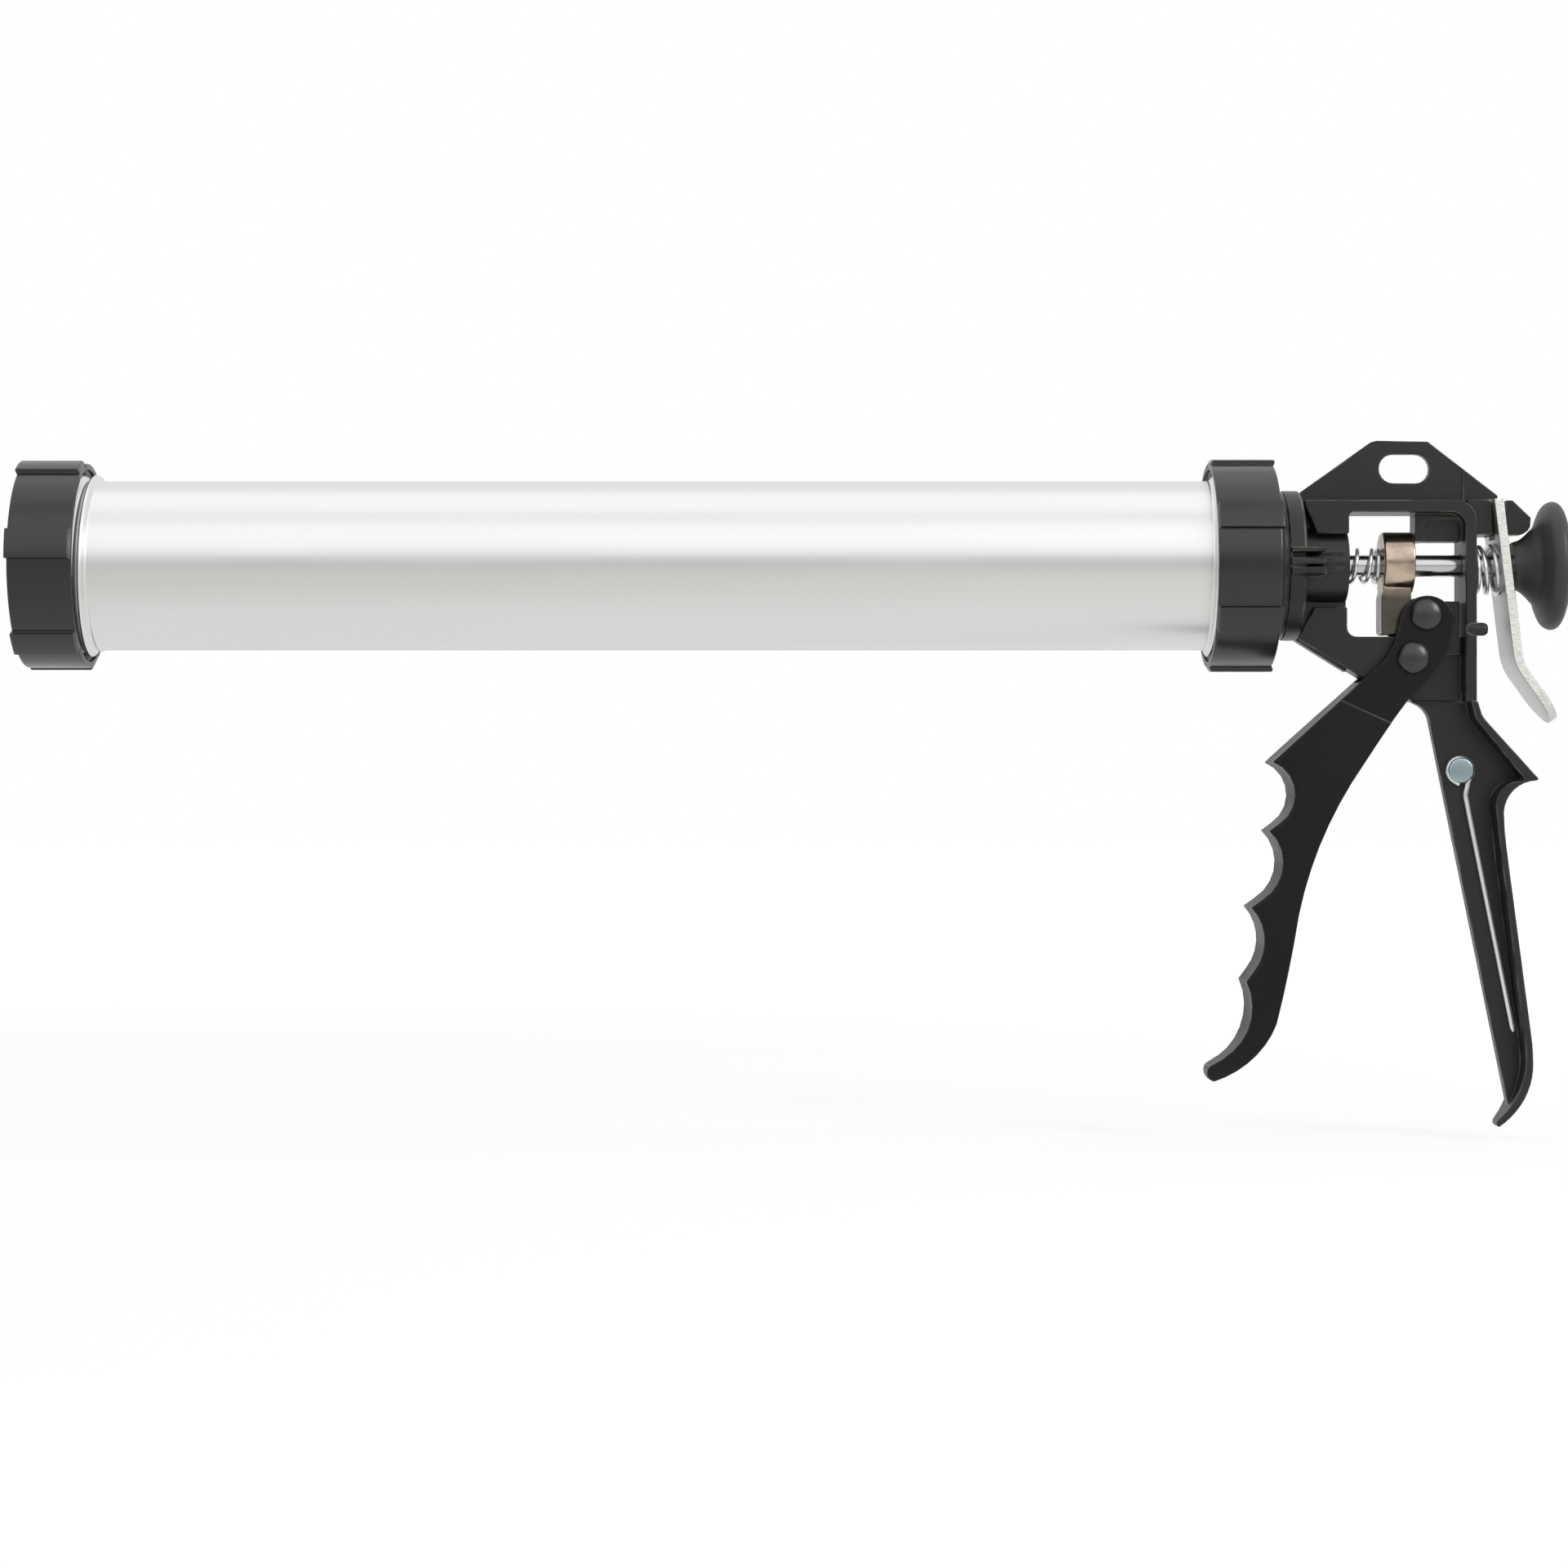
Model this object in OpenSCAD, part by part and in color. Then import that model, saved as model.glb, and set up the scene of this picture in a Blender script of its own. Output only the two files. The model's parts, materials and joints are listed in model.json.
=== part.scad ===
// Caulking gun for foil packs: closed aluminium barrel, cast handle, squeeze trigger.
// The barrel's axis is the X axis. X = 0 is the outer face of the front ring nut, +X runs
// towards the push knob, +Z is up, and the gun is symmetric about the plane Y = 0 apart
// from the piercing needle and its rivet. Lengths are in millimetres.

/* [Barrel] */
// Outer diameter of the barrel tube
barrel_od = 54; // [44:0.5:66]
// Wall of the barrel tube
barrel_wall = 1.2; // [0.8:0.1:1.6]
// Length of the barrel tube
barrel_len = 386; // [250:1:480]
// Height of the rolled thread above the tube
thread_rise = 2.0; // [1:0.1:2.5]
// Pitch of the rolled thread
thread_pitch = 4.4; // [3:0.1:5]

/* [Ring nuts] */
// Length of a ring nut without its ribs' overhang
ring_len = 20.2; // [16:0.1:26]
// Wall of a ring nut around the thread
ring_wall = 3.3; // [2.5:0.1:5]
// Thickness of the closed end of a ring nut
ring_end = 3.2; // [2:0.1:5]
// Ribs around a ring nut
rib_count = 6; // [3:1:12]
// Height of a rib
rib_rise = 1.3; // [0.6:0.1:2.5]
// Angle that one rib covers
rib_angle = 16.5; // [8:0.5:28]
// How far the ribs are shifted towards the closed end
rib_shift = 0.8; // [0.2:0.1:2]
// Bore for the nozzle in the front ring nut
nozzle_bore_d = 36; // [24:0.5:40]

/* [Piston rod] */
// Diameter of the piston rod
rod_d = 7; // [5:0.1:9]
// Diameter of the push knob's rim
knob_d = 41; // [32:0.5:50]
// Length of the push knob
knob_len = 17.9; // [14:0.1:24]
// Gap between the piston and the barrel's bore
piston_gap = 0.4; // [0.2:0.05:1]
// Length of the piston cup
cup_len = 18; // [12:0.5:26]

/* [Handle casting] */
// Width of the window frame across the gun
beam_w = 20; // [16:0.5:26]
// Width of the lower plate that the trigger straddles
plate_w = 12; // [9:0.1:15]
// Thickness of the grip's web
web_t = 5; // [3:0.1:7]
// Width of the grip's rear flange
flange_w = 24; // [18:0.5:30]
// Thickness of the grip's rear flange
flange_t = 2.3; // [1.8:0.1:3]
// Thickness of the hanging plate
hanger_t = 4; // [3:0.1:6]
// Diameter of the boss that guides the rod
boss_d = 24; // [20:0.5:28]
// Length of the hanging slot
slot_len = 16.2; // [12:0.1:20]
// Height of the hanging slot
slot_h = 9.3; // [6:0.1:10]
// Thickness of the upright behind the window
upright_t = 3.6; // [2.8:0.1:5]

/* [Trigger] */
// Thickness of a trigger cheek
cheek_t = 3; // [2:0.1:4]
// Width of the finger grip
grip_w = 23; // [19:0.5:28]
// Wall of the hollow finger grip
grip_wall = 3.2; // [2.2:0.1:4.5]
// Diameter of the pivot and drive pins
pin_d = 6; // [4:0.1:7]
// Diameter of a pin's domed head
dome_d = 10.4; // [8:0.1:12]
// Diameter of the bush on the drive pin
bush_d = 7.8; // [6.8:0.1:8.4]

/* [Clutch and brake] */
// Wire of the return spring
return_wire = 1.3; // [0.8:0.1:1.6]
// Outer diameter of the return spring
return_od = 12; // [10.5:0.1:13]
// Length of the drive block's head along the rod
head_len = 9.9; // [7:0.1:10.5]
// Thickness of the release lever's strip
lever_t = 3; // [2:0.1:3.5]
// Width of the release lever's strip
lever_w = 23; // [18:0.5:26]
// Lean of the release lever at rest, in degrees
lever_lean = 7; // [4:0.5:9]
// Wire of the brake spring
brake_wire = 1.4; // [0.8:0.1:1.6]

/* [Needle] */
// Wire of the piercing needle
needle_d = 1.8; // [1:0.1:2]
// Length of the needle from its rivet to its tip
needle_len = 85; // [60:1:86]
// Diameter of the needle rivet's head
rivet_d = 8.2; // [7:0.1:10]

/* [Clearances] */
// Radial gap of curved faces that slide or turn without being a fit
slide_gap = 0.3; // [0.2:0.05:0.5]
// Radial clearance of a running fit
run_gap = 0.05; // [0.01:0.01:0.1]
// Gap between flat faces of different pieces
face_gap = 0.3; // [0.2:0.05:0.5]

/* [Hidden] */
$fn = 96;

e = 0.01;
barrel_r = barrel_od / 2;
bore_r = barrel_r - barrel_wall;
thread_r = barrel_r + thread_rise;
rod_r = rod_d / 2;

// Ring nuts: the front one opens rearwards, the rear one opens forwards.
ring_in_r = thread_r + slide_gap;
ring_r = ring_in_r + ring_wall;
rib_r = ring_r + rib_rise;
ridge_w = 3;
tube_x0 = ring_end + face_gap;
tube_x1 = tube_x0 + barrel_len;

// Swivel: the casting's flange and its washer lie between the tube and the rear ring's end.
swivel_t = 2.5;
washer_t = 1;
swivel_x0 = tube_x1 + face_gap;
swivel_x1 = swivel_x0 + swivel_t;
washer_x0 = swivel_x1 + 0.1;
washer_x1 = washer_x0 + washer_t;
ring_inner_x1 = washer_x1 + 0.1;
fx = ring_inner_x1 + ring_end;         // datum of the handle: the rear ring's outer face
rear_ring_x0 = fx - ring_len;
neck_r = barrel_r - 3.1;
neck_len = 9.5;
swivel_r = barrel_r - 0.3;

// Handle, in the plane of the gun and measured from the datum.
win_x0 = 24.5;
win_len = 36.9;
win_z0 = -22.8;
win_z1 = 16.6;
win_r = 1.6;
win_low_r = 3;                         // corner between the window's front and bottom
win_rear_r = 4.5;                      // corner under the beam's rear end
beam_r = 6.5;                          // outer corner of the beam and the upright
beam_z1 = 20.4;
win_x1 = win_x0 + win_len;
up_x1 = win_x1 + upright_t;
boss_r = boss_d / 2;
guide_r = rod_r + slide_gap;
stop_x = 46.2;
stop_z = 7.5;
lug_z0 = 9.6;
lug_z1 = 20.7;
lug_w = 8;
slot_x0 = 35.2;
rib_x0 = 4.4;
rib_x1 = 15.3;

// Trigger pivot and drive pin.
pivot = [45.0, -29.6];
drive = pivot + [4.1, 13.7];
cheek_in = plate_w / 2 + face_gap;
cheek_out = cheek_in + cheek_t;
pin_r = pin_d / 2;
dome_r = dome_d / 2;
dome_h = 2.6;
bush_r = bush_d / 2;

// Drive block and return spring.
block_x1 = drive[0] - bush_r - face_gap;
head_x1 = block_x1 + 0.9;
block_x0 = head_x1 - head_len;
tail_x0 = block_x0 - 0.5;
head_r = 9.9;
head_z = 0.9;
tail_w = 11.4;
spring_pocket = 6;
spring_gap = 0.6;

// Release lever: it hangs on the groove in the lug and leans back.
lever_z1 = 20.7;
lever_bend_z = -31.5;
groove_z = 17.4;
lever_x = 74.25;                       // strip's middle at the height of the rod
lever_arm = 22;
lever_kick = 35.4;
lever_bend_r = 14;
lever_hang_x = lever_x - groove_z * tan(lever_lean);
lever_hole_r = rod_r + 0.8;

// Push knob.
knob_neck_r = 7.6;
knob_x0 = 77.6;
knob_x1 = knob_x0 + knob_len;
knob_r = knob_d / 2;

// Piston stack on the rod, front to back.
nut_h = 5;
plate_t = 1.5;
nut_x0 = 8;
front_plate_x0 = nut_x0 + nut_h;
cup_x0 = front_plate_x0 + plate_t;
cup_web = 5;
skirt_t = 2.2;
back_plate_x0 = cup_x0 + cup_web;
collar_x0 = back_plate_x0 + plate_t;
collar_len = 6;
tenon_r = rod_r - 0.6;
piston_r = bore_r - piston_gap;

// Piercing needle.
rivet = [60.8, -65.3];
rivet_shank_r = 2.4;
needle_y = -(web_t / 2 + face_gap + needle_d / 2);
needle_lean = 11.5;

// Points from a to c on the circle through a, b and c, without c itself.
function mid_arc(a, b, c, n = 6) =
    let (d = 2 * (a[0] * (b[1] - c[1]) + b[0] * (c[1] - a[1]) + c[0] * (a[1] - b[1])),
         ox = (a * a * (b[1] - c[1]) + b * b * (c[1] - a[1]) + c * c * (a[1] - b[1])) / d,
         oy = (a * a * (c[0] - b[0]) + b * b * (a[0] - c[0]) + c * c * (b[0] - a[0])) / d,
         o = [ox, oy],
         a0 = atan2(a[1] - oy, a[0] - ox),
         ab = (atan2(b[1] - oy, b[0] - ox) - a0 + 720) % 360,
         ac = (atan2(c[1] - oy, c[0] - ox) - a0 + 720) % 360,
         turn = ab < ac ? ac : ac - 360)
    [for (i = [0:n - 1]) o + norm(a - o) * [cos(a0 + turn * i / n), sin(a0 + turn * i / n)]];

// Points on an arc about o, from angle a0 to a1, both ends kept.
function arc(o, r, a0, a1, n = 8) =
    [for (i = [0:n]) o + r * [cos(a0 + (a1 - a0) * i / n), sin(a0 + (a1 - a0) * i / n)]];

// Rectangle with rounded corners.
function soft_box(x0, z0, x1, z1, r) =
    concat(arc([x0 + r, z0 + r], r, 180, 270, 5), arc([x1 - r, z0 + r], r, 270, 360, 5),
           arc([x1 - r, z1 - r], r, 0, 90, 5), arc([x0 + r, z1 - r], r, 90, 180, 5));

// Plate of width w across the gun, with an outline in the handle's own plane.
module slab(outline, w) {
    translate([fx, 0, 0]) rotate([90, 0, 0])
        linear_extrude(height = w, center = true) polygon(outline);
}

// Cylinder along the barrel's axis.
module rod_x(x0, x1, r) {
    translate([x0, 0, 0]) rotate([0, 90, 0]) cylinder(r = r, h = x1 - x0);
}

// Cylinder across the gun at a point of the handle's plane.
module rod_y(p, y0, y1, r) {
    translate([fx + p[0], y1, p[1]]) rotate([90, 0, 0]) cylinder(r = r, h = y1 - y0);
}

// Solid of revolution about the barrel's axis, from points [x, radius].
module turned(outline) {
    rotate([90, 0, 90]) rotate_extrude()
        polygon([for (p = outline) [p[1], p[0]]]);
}

// Closed tube along a list of centres, with the frame of a helix whose axis is drop below X.
module coil(path, wire, drop = 0, sides = 8) {
    n = len(path);
    rings = [for (i = [0:n - 1])
        let (a = path[max(i - 1, 0)], b = path[min(i + 1, n - 1)],
             t = (b - a) / norm(b - a),
             spoke = [0, path[i][1], path[i][2] + drop],
             out = spoke / norm(spoke),
             u = (out - (out * t) * t) / norm(out - (out * t) * t),
             v = cross(t, u))
        for (k = [0:sides - 1])
            path[i] + wire / 2 * (cos(360 * k / sides) * u + sin(360 * k / sides) * v)];
    walls = [for (i = [0:n - 2]) for (k = [0:sides - 1])
        let (m = (k + 1) % sides, a = i * sides, b = a + sides)
        for (half = [[a + k, a + m, b + m], [a + k, b + m, b + k]]) half];
    first_end = [for (k = [sides - 1:-1:0]) k];
    last_end = [for (k = [0:sides - 1]) (n - 1) * sides + k];
    polyhedron(points = rings, faces = concat([first_end], walls, [last_end]));
}

// ---------------------------------------------------------------- barrel and ring nuts

module barrel_tube() {
    color("gainsboro") difference() {
        union() {
            rod_x(tube_x0, tube_x1, barrel_r);
            turned(thread_profile(ring_len + 3.5 - 3 * thread_pitch - ridge_w, 4));
            turned(thread_profile(rear_ring_x0 - 0.2, 3));
        }
        rod_x(tube_x0 - 1, tube_x1 + 1, bore_r);
    }
}

// Outline of a run of thread ridges that starts at x.
function thread_profile(x, ridges) = concat(
    [[x, barrel_r - barrel_wall / 2]],
    [for (i = [0:ridges - 1]) for (s = [[0, 0], [0.3, 0.8], [0.5, 1], [0.7, 0.8], [1, 0]])
        [x + i * thread_pitch + ridge_w * s[0], barrel_r + thread_rise * s[1]]],
    [[x + (ridges - 1) * thread_pitch + ridge_w, barrel_r - barrel_wall / 2]]);

// Ring nut with its closed end at x = 0 and its open end at x = ring_len.
module ring_nut(end_bore_r, rib_turn) {
    mouth = 0.65 * ring_wall;
    difference() {
        union() {
            turned([[0, 0], [0, ring_r - 0.8], [0.8, ring_r], [ring_len - 0.6, ring_r],
                    [ring_len, ring_r - 0.6], [ring_len, 0]]);
            for (i = [0:rib_count - 1])
                rotate([rib_turn + i * 360 / rib_count, 0, 0]) rib();
        }
        turned([[ring_end, 0], [ring_end, ring_in_r], [ring_len - 3, ring_in_r],
                [ring_len - 1.2, ring_in_r + mouth], [ring_len + 1, ring_in_r + mouth],
                [ring_len + 1, 0]]);
        rod_x(-5, ring_len, end_bore_r);
    }
}

// One rib: a band of the outer surface, centred on the +Z side.
module rib() {
    intersection() {
        turned([[-rib_shift, ring_r - 1.2], [-rib_shift, rib_r - 0.5], [0.5 - rib_shift, rib_r],
                [ring_len - rib_shift - 0.5, rib_r], [ring_len - rib_shift, rib_r - 0.5],
                [ring_len - rib_shift, ring_r - 1.2]]);
        translate([-5, 0, 0]) rotate([90, 0, 90]) linear_extrude(height = ring_len + 10)
            polygon([[0, 0], [2 * rib_r * tan(rib_angle / 2), 2 * rib_r],
                     [-2 * rib_r * tan(rib_angle / 2), 2 * rib_r]]);
    }
}

module front_ring() {
    color("#2c2d2f") ring_nut(nozzle_bore_d / 2, 21);
}

module rear_ring() {
    color("#2c2d2f") translate([fx, 0, 0]) mirror([1, 0, 0])
        ring_nut(neck_r + slide_gap, 4);
}

module swivel_washer() {
    color("ivory") difference() {
        rod_x(washer_x0, washer_x1, swivel_r);
        rod_x(washer_x0 - 1, washer_x1 + 1, neck_r + slide_gap);
    }
}

// ---------------------------------------------------------------- handle casting

// Rear edge of the grip, from the upright down to the curled toe, as [x, z].
back_edge = concat(
    [[up_x1, -43.6]],
    mid_arc([66.2, -47.6], [67.2, -49.2], [68.5, -50.6], 3),
    [[84.3, -68.1]],
    mid_arc([83.6, -68.6], [76.6, -71.4], [73.2, -78.7], 8),
    mid_arc([73.2, -78.7], [73.7, -87.0], [75.0, -95.5], 3),
    [[82.2, -151.9]],
    mid_arc([82.6, -158.0], [80.6, -169.8], [73.4, -179.2], 10));

// Front edge of the grip's web, from the crotch down to the toe.
crotch = [45.2, -43.4];
web_front = concat([crotch], mid_arc([47.9, -44.7], [50.0, -46.7], [51.1, -48.9], 4),
                   [[51.1, -48.9], [76.1, -171.4]]);

// Inner line of the rear flange: the back edge moved in by the flange's thickness.
flange_inner = concat(
    [[up_x1 - flange_t, -43.0]],
    mid_arc([66.2 - flange_t * 0.9, -48.8], [67.0 - flange_t * 0.8, -50.3],
            [68.5 - flange_t * 0.7, -52.2], 3),
    mid_arc([79.0, -67.3], [79.6, -68.0], [78.9, -68.7], 3),
    mid_arc([78.9, -68.7], [73.8 - flange_t * 0.5, -71.0], [73.2 - flange_t, -78.7], 6),
    [[75.0 - flange_t, -95.8], [82.2 - flange_t, -152.2]],
    mid_arc([82.6 - flange_t, -158.0], [80.4 - flange_t, -168.4], [73.0, -176.6], 8));

// Turns a list round, so that two edges can close one outline.
function back(list) = [for (i = [len(list) - 1:-1:0]) list[i]];

module frame() {
    color("#1d1e20") difference() {
        union() {
            neck();
            hanging_plate();
            window_frame();
            lower_plate();
            grip();
            rear_lug();
            index_ribs();
            // Nubs that stop the release lever, half sunk in the upright's sides.
            for (side = [-1, 1])
                translate([0, side * (beam_w / 2 - 1.1), -20.6])
                    turned([[fx + up_x1 - 3.4, 0], [fx + up_x1 - 3.1, 1.5],
                            [fx + up_x1 - 1.6, 2.1], [fx + up_x1 + 2.4, 2.1],
                            [fx + up_x1 + 3.4, 1.5], [fx + up_x1 + 3.7, 0]]);
        }
        // Guide bores for the rod and the pocket for the return spring.
        rod_x(swivel_x0 - 1, fx + up_x1 + 1, guide_r);
        rod_x(fx + win_x0 - spring_pocket, fx + win_x0 + e, return_od / 2 + spring_gap);
        // Bores for the pivot pin and the needle's rivet.
        rod_y(pivot, -plate_w, plate_w, pin_r + run_gap);
        rod_y(rivet, -web_t, web_t, rivet_shank_r + run_gap);
    }
}

// Swivel flange and neck behind the barrel, hollowed from the front.
module neck() {
    difference() {
        turned([[swivel_x0, 0], [swivel_x0, swivel_r], [swivel_x1, swivel_r],
                [swivel_x1, neck_r], [fx + 2.9, neck_r], [fx + 2.9, neck_r - 0.7],
                [fx + 4.1, neck_r - 0.7], [fx + 4.1, neck_r], [fx + neck_len - 0.6, neck_r],
                [fx + neck_len, neck_r - 0.6], [fx + neck_len, 0]]);
        turned([[swivel_x0 - 1, boss_r], [fx + neck_len - 3.5, boss_r],
                [fx + neck_len - 3.5, neck_r - 4], [swivel_x0 - 1, neck_r - 4]]);
        // Slots that carry the wide gap between two of the fingers over the neck.
        for (side = [-1, 1])
            translate([fx + rib_x0 + 0.2, side * neck_r - 2.8, 1.4]) cube([neck_len, 5.6, 1.7]);
    }
    rod_x(fx + neck_len - 3.5, fx + win_x0, boss_r);
}

module hanging_plate() {
    difference() {
        slab([[neck_len - 1, 18], [neck_len + 0.7, 23.5], [32.6, 39.4], [34.5, 39.9],
              [50.8, 39.6], [73.2, 22.3], [72.9, 21.2], [69.4, 21.2], [69.4, 20], [60, 18]],
             hanger_t);
        slab(soft_box(slot_x0, 26.3, slot_x0 + slot_len, 26.3 + slot_h, slot_h / 2 - e), hanger_t + 1);
    }
    // Thin vertical stiffening line on both faces.
    slab([[61.6, 20], [62.4, 20], [62.4, 30.0], [61.6, 30.7]], hanger_t + 0.8);
}

// Beam around the window, the stop web in its corner and the upright.
module window_frame() {
    difference() {
        slab(concat([[14.3, 9.8], [10.6, 18.8], [10.6, beam_z1]],
                    arc([up_x1 - beam_r, beam_z1 - beam_r], beam_r, 90, 0, 8),
                    [[up_x1, -43.6], [win_x1, -43.6], [win_x1, 9.8]]), beam_w);
        slab(concat([[win_x1, -50], [win_x0, -50]],
                    arc([win_x0 + win_r, win_z1 - win_r], win_r, 180, 90, 5),
                    arc([win_x1 - win_rear_r, win_z1 - win_rear_r], win_rear_r, 90, 0, 6)),
             beam_w + 1);
    }
    // Web between the neck and the window, above and below the boss.
    slab([[neck_len - 1, -24], [win_x0, -34], [win_x0, beam_z1], [neck_len - 1, beam_z1]], 6);
    slab([[stop_x, stop_z], [win_x1 + 1, stop_z], [win_x1 + 1, win_z1 + 1],
          [stop_x, win_z1 + 1]], 8);
    difference() {
        slab([[stop_x, stop_z], [win_x1 + 1, stop_z], [win_x1 + 1, win_z1 + 1],
              [stop_x, win_z1 + 1]], 10.4);
        slab(soft_box(stop_x + 3, stop_z - 5, win_x1 - 1, win_z1 - 1.9, 1.4), 11);
    }
}

// Plate between the trigger's cheeks, from the neck to the upright.
module lower_plate() {
    difference() {
        slab(concat([[9.0, -23.4], [9.7, -24], [29.4, -35.9], crotch, [60.2, -43.4],
                     [60.2, -11.6], [54.0, -11.6], [54.0, win_z0]],
                    arc([win_x0 + win_low_r, win_z0 + win_low_r], win_low_r, 270, 180, 5),
                    [[win_x0, -13.5], [14.1, -13.5]]), plate_w);
        // The panel below the step is the grip's thinner web.
        slab([[50.5, -28.7], [61, -28.7], [61, -44], [46, -44], [44, -41]], plate_w + 1);
    }
    slab([[9.7, -24], [29.4, -35.9], crotch, [win_x1 + 1, -43.4], [win_x1 + 1, win_z0],
          [win_x0 - 2, win_z0], [14, -16]], 6);
}

// Thin web with a flange around its rear edge.
module grip() {
    slab(concat([[46, -28.5]], web_front, [[76.9, -175.0]],
                [for (p = back(back_edge)) if (p[1] > -175) p], [[up_x1, -28.5]]), web_t);
    intersection() {
        slab(concat(back_edge, [[73.4, -179.2], [72.5, -178.6], [72.4, -177.4]],
                    back(flange_inner)), flange_w);
        toe_limit(flange_w / 2, -155, -179.3);
    }
}

// Space that a grip may fill: its full width down to z0, then drawn in to the toe at z1.
module toe_limit(half, z0, z1) {
    tip = 3;
    middle = [(half + tip) / 2 + 1.4, (z0 + z1) / 2];
    right = concat([[half + 1, 20], [half + 1, z0 + 2]],
                   mid_arc([half, z0], middle, [tip, z1], 8), [[tip, z1]]);
    translate([fx - 60, 0, 0]) rotate([90, 0, 90]) linear_extrude(height = 160)
        polygon(concat(right, [for (p = back(right)) [-p[0], p[1]]]));
}

// Tongue behind the upright with a groove on top and a hook behind the release lever.
module rear_lug() {
    slab([[win_x1 + 1, lug_z0], [70.3, lug_z0], [69.9, lug_z1 - 0.8], [69.2, lug_z1],
          [win_x1 + 1, lug_z1]], lug_w + 8);
    slab([[69, lug_z0], [80.6, 9.8], [82.2, 10.9], [83.1, 12.2], [83.3, 15.2], [77.5, lug_z1],
          [lever_hang_x + 3.2, lug_z1], [lever_hang_x + 2.9, groove_z], [69, groove_z]],
         lug_w);
}

// Three fingers on each side that run back from the neck beside the boss.
module index_ribs() {
    reach = neck_r + 0.8;
    for (z = [[3.2, 4.5], [-0.85, 1.3], [-3.8, -1.6]])
        for (side = [-1, 1])
            translate([fx, 0, z[0]]) linear_extrude(height = z[1] - z[0])
                polygon([[rib_x0, side * 8], [rib_x0, side * reach], [rib_x1 - 0.5, side * reach],
                         [rib_x1, side * (reach - 0.6)], [rib_x1, side * 8]]);
}

// ---------------------------------------------------------------- trigger

// Finger side of the trigger, from the cheeks down to the toe: one hollow per finger.
finger_side = concat(
    [[35.0, -31.2]],
    [[1.2, -61.8]],
    mid_arc([0.2, -62.8], [7.2, -72.8], [-0.7, -83.6], 8),
    mid_arc([-0.9, -84.6], [3.4, -95.6], [-6.3, -107.8], 8),
    mid_arc([-6.6, -108.9], [-2.5, -120.5], [-7.9, -131.2], 8),
    mid_arc([-8.2, -132.3], [-7.6, -147.4], [-18.9, -158.9], 8),
    mid_arc([-19.4, -159.5], [-20.0, -162.6], [-17.6, -164.7], 4));

// Palm side, from the toe up to the cheeks.
palm_side = concat(
    mid_arc([-17.6, -164.7], [-6.9, -158.2], [1.4, -145.6], 7),
    mid_arc([1.4, -145.6], [6.0, -125.0], [8.4, -111.4], 4),
    mid_arc([8.4, -111.4], [15.8, -87.4], [29.4, -63.0], 7),
    mid_arc([29.4, -63.0], [37.0, -51.8], [44.3, -41.7], 3),
    mid_arc([44.3, -41.7], [53.0, -32.8], [57.6, -22.0], 6));

// Cheeks' head around the drive pin, and the sweep down to the finger side.
cheek_head = concat(
    arc([drive[0] + 0.4, drive[1] - 2.5], 8.5, -20, 160, 16),
    mid_arc([40.9, -16.9], [38.8, -25.0], [35.0, -31.2], 5));

trigger_outline = concat(finger_side, palm_side, cheek_head);

// Hollow of the grip, open towards the palm: narrow between the cheeks, wider below z = -56.
hollow_z = -56;
hollow_top = [[30, -20], [33.7, -37.6], [11.9, hollow_z - 1], [62, hollow_z - 1], [70, -20]];
hollow_low = concat(
    [[13.0, hollow_z], [4.5, -63.6]],
    [for (p = [[7.2, -72.8], [0.4, -84.0], [3.4, -95.6], [-4.6, -108.2], [-2.5, -120.5],
               [-6.5, -131.6], [-7.2, -143.5]]) p + [grip_wall, 0]],
    [[3.0, -149.0], [30, -130], [62, hollow_z]]);

module trigger() {
    crease = [26.5, -44.8];
    crease_fall = 24.3;
    flare_len = 26;
    color("#202123") difference() {
        intersection() {
            slab(trigger_outline, grip_w);
            toe_limit(grip_w / 2, -147, -165);
        }
        // The sides step in above the crease and flare out below it.
        for (side = [0, 1])
            mirror([0, side, 0]) translate([fx + crease[0], 0, crease[1]])
                rotate([0, crease_fall, 0]) rotate([90, 0, 90])
                    linear_extrude(height = 120, center = true)
                        polygon([[cheek_out, 60], [cheek_out, 0], [cheek_out + 0.4, -0.4],
                                 [grip_w / 2, -flare_len], [grip_w, -flare_len],
                                 [grip_w, 60]]);
        // Space between the cheeks, round the plate and its rear edge.
        rod_y(pivot, -cheek_in, cheek_in, 18.2);
        slab([[30, -20], [pivot[0] - 17.5, -34], [pivot[0], -44], [90, -44], [90, 0],
              [30, 0]], 2 * cheek_in);
        slab(hollow_top, 2 * cheek_in);
        slab(hollow_low, grip_w - 2 * grip_wall);
        rod_y(pivot, -grip_w, grip_w, pin_r + run_gap);
        rod_y(drive, -grip_w, grip_w, pin_r + run_gap);
    }
}

// Rivet pin with a dome on each side of the trigger.
module domed_pin(p) {
    sphere_r = (dome_r * dome_r + dome_h * dome_h) / (2 * dome_h);
    rod_y(p, -cheek_out - 0.5, cheek_out + 0.5, pin_r);
    for (side = [-1, 1])
        translate([fx + p[0], side * (cheek_out + 0.05), p[1]]) rotate([side * -90, 0, 0])
            intersection() {
                translate([0, 0, dome_h - sphere_r]) sphere(r = sphere_r);
                cylinder(r = dome_r + 1, h = dome_h + 1);
            }
}

module pivot_pin() {
    color("#26272a") domed_pin(pivot);
}

module drive_pin() {
    color("#26272a") domed_pin(drive);
}

module drive_bush() {
    color("silver") difference() {
        rod_y(drive, 0.2 - cheek_in, cheek_in - 0.2, bush_r);
        rod_y(drive, -cheek_in, cheek_in, pin_r + run_gap);
    }
}

// ---------------------------------------------------------------- clutch and return spring

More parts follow.
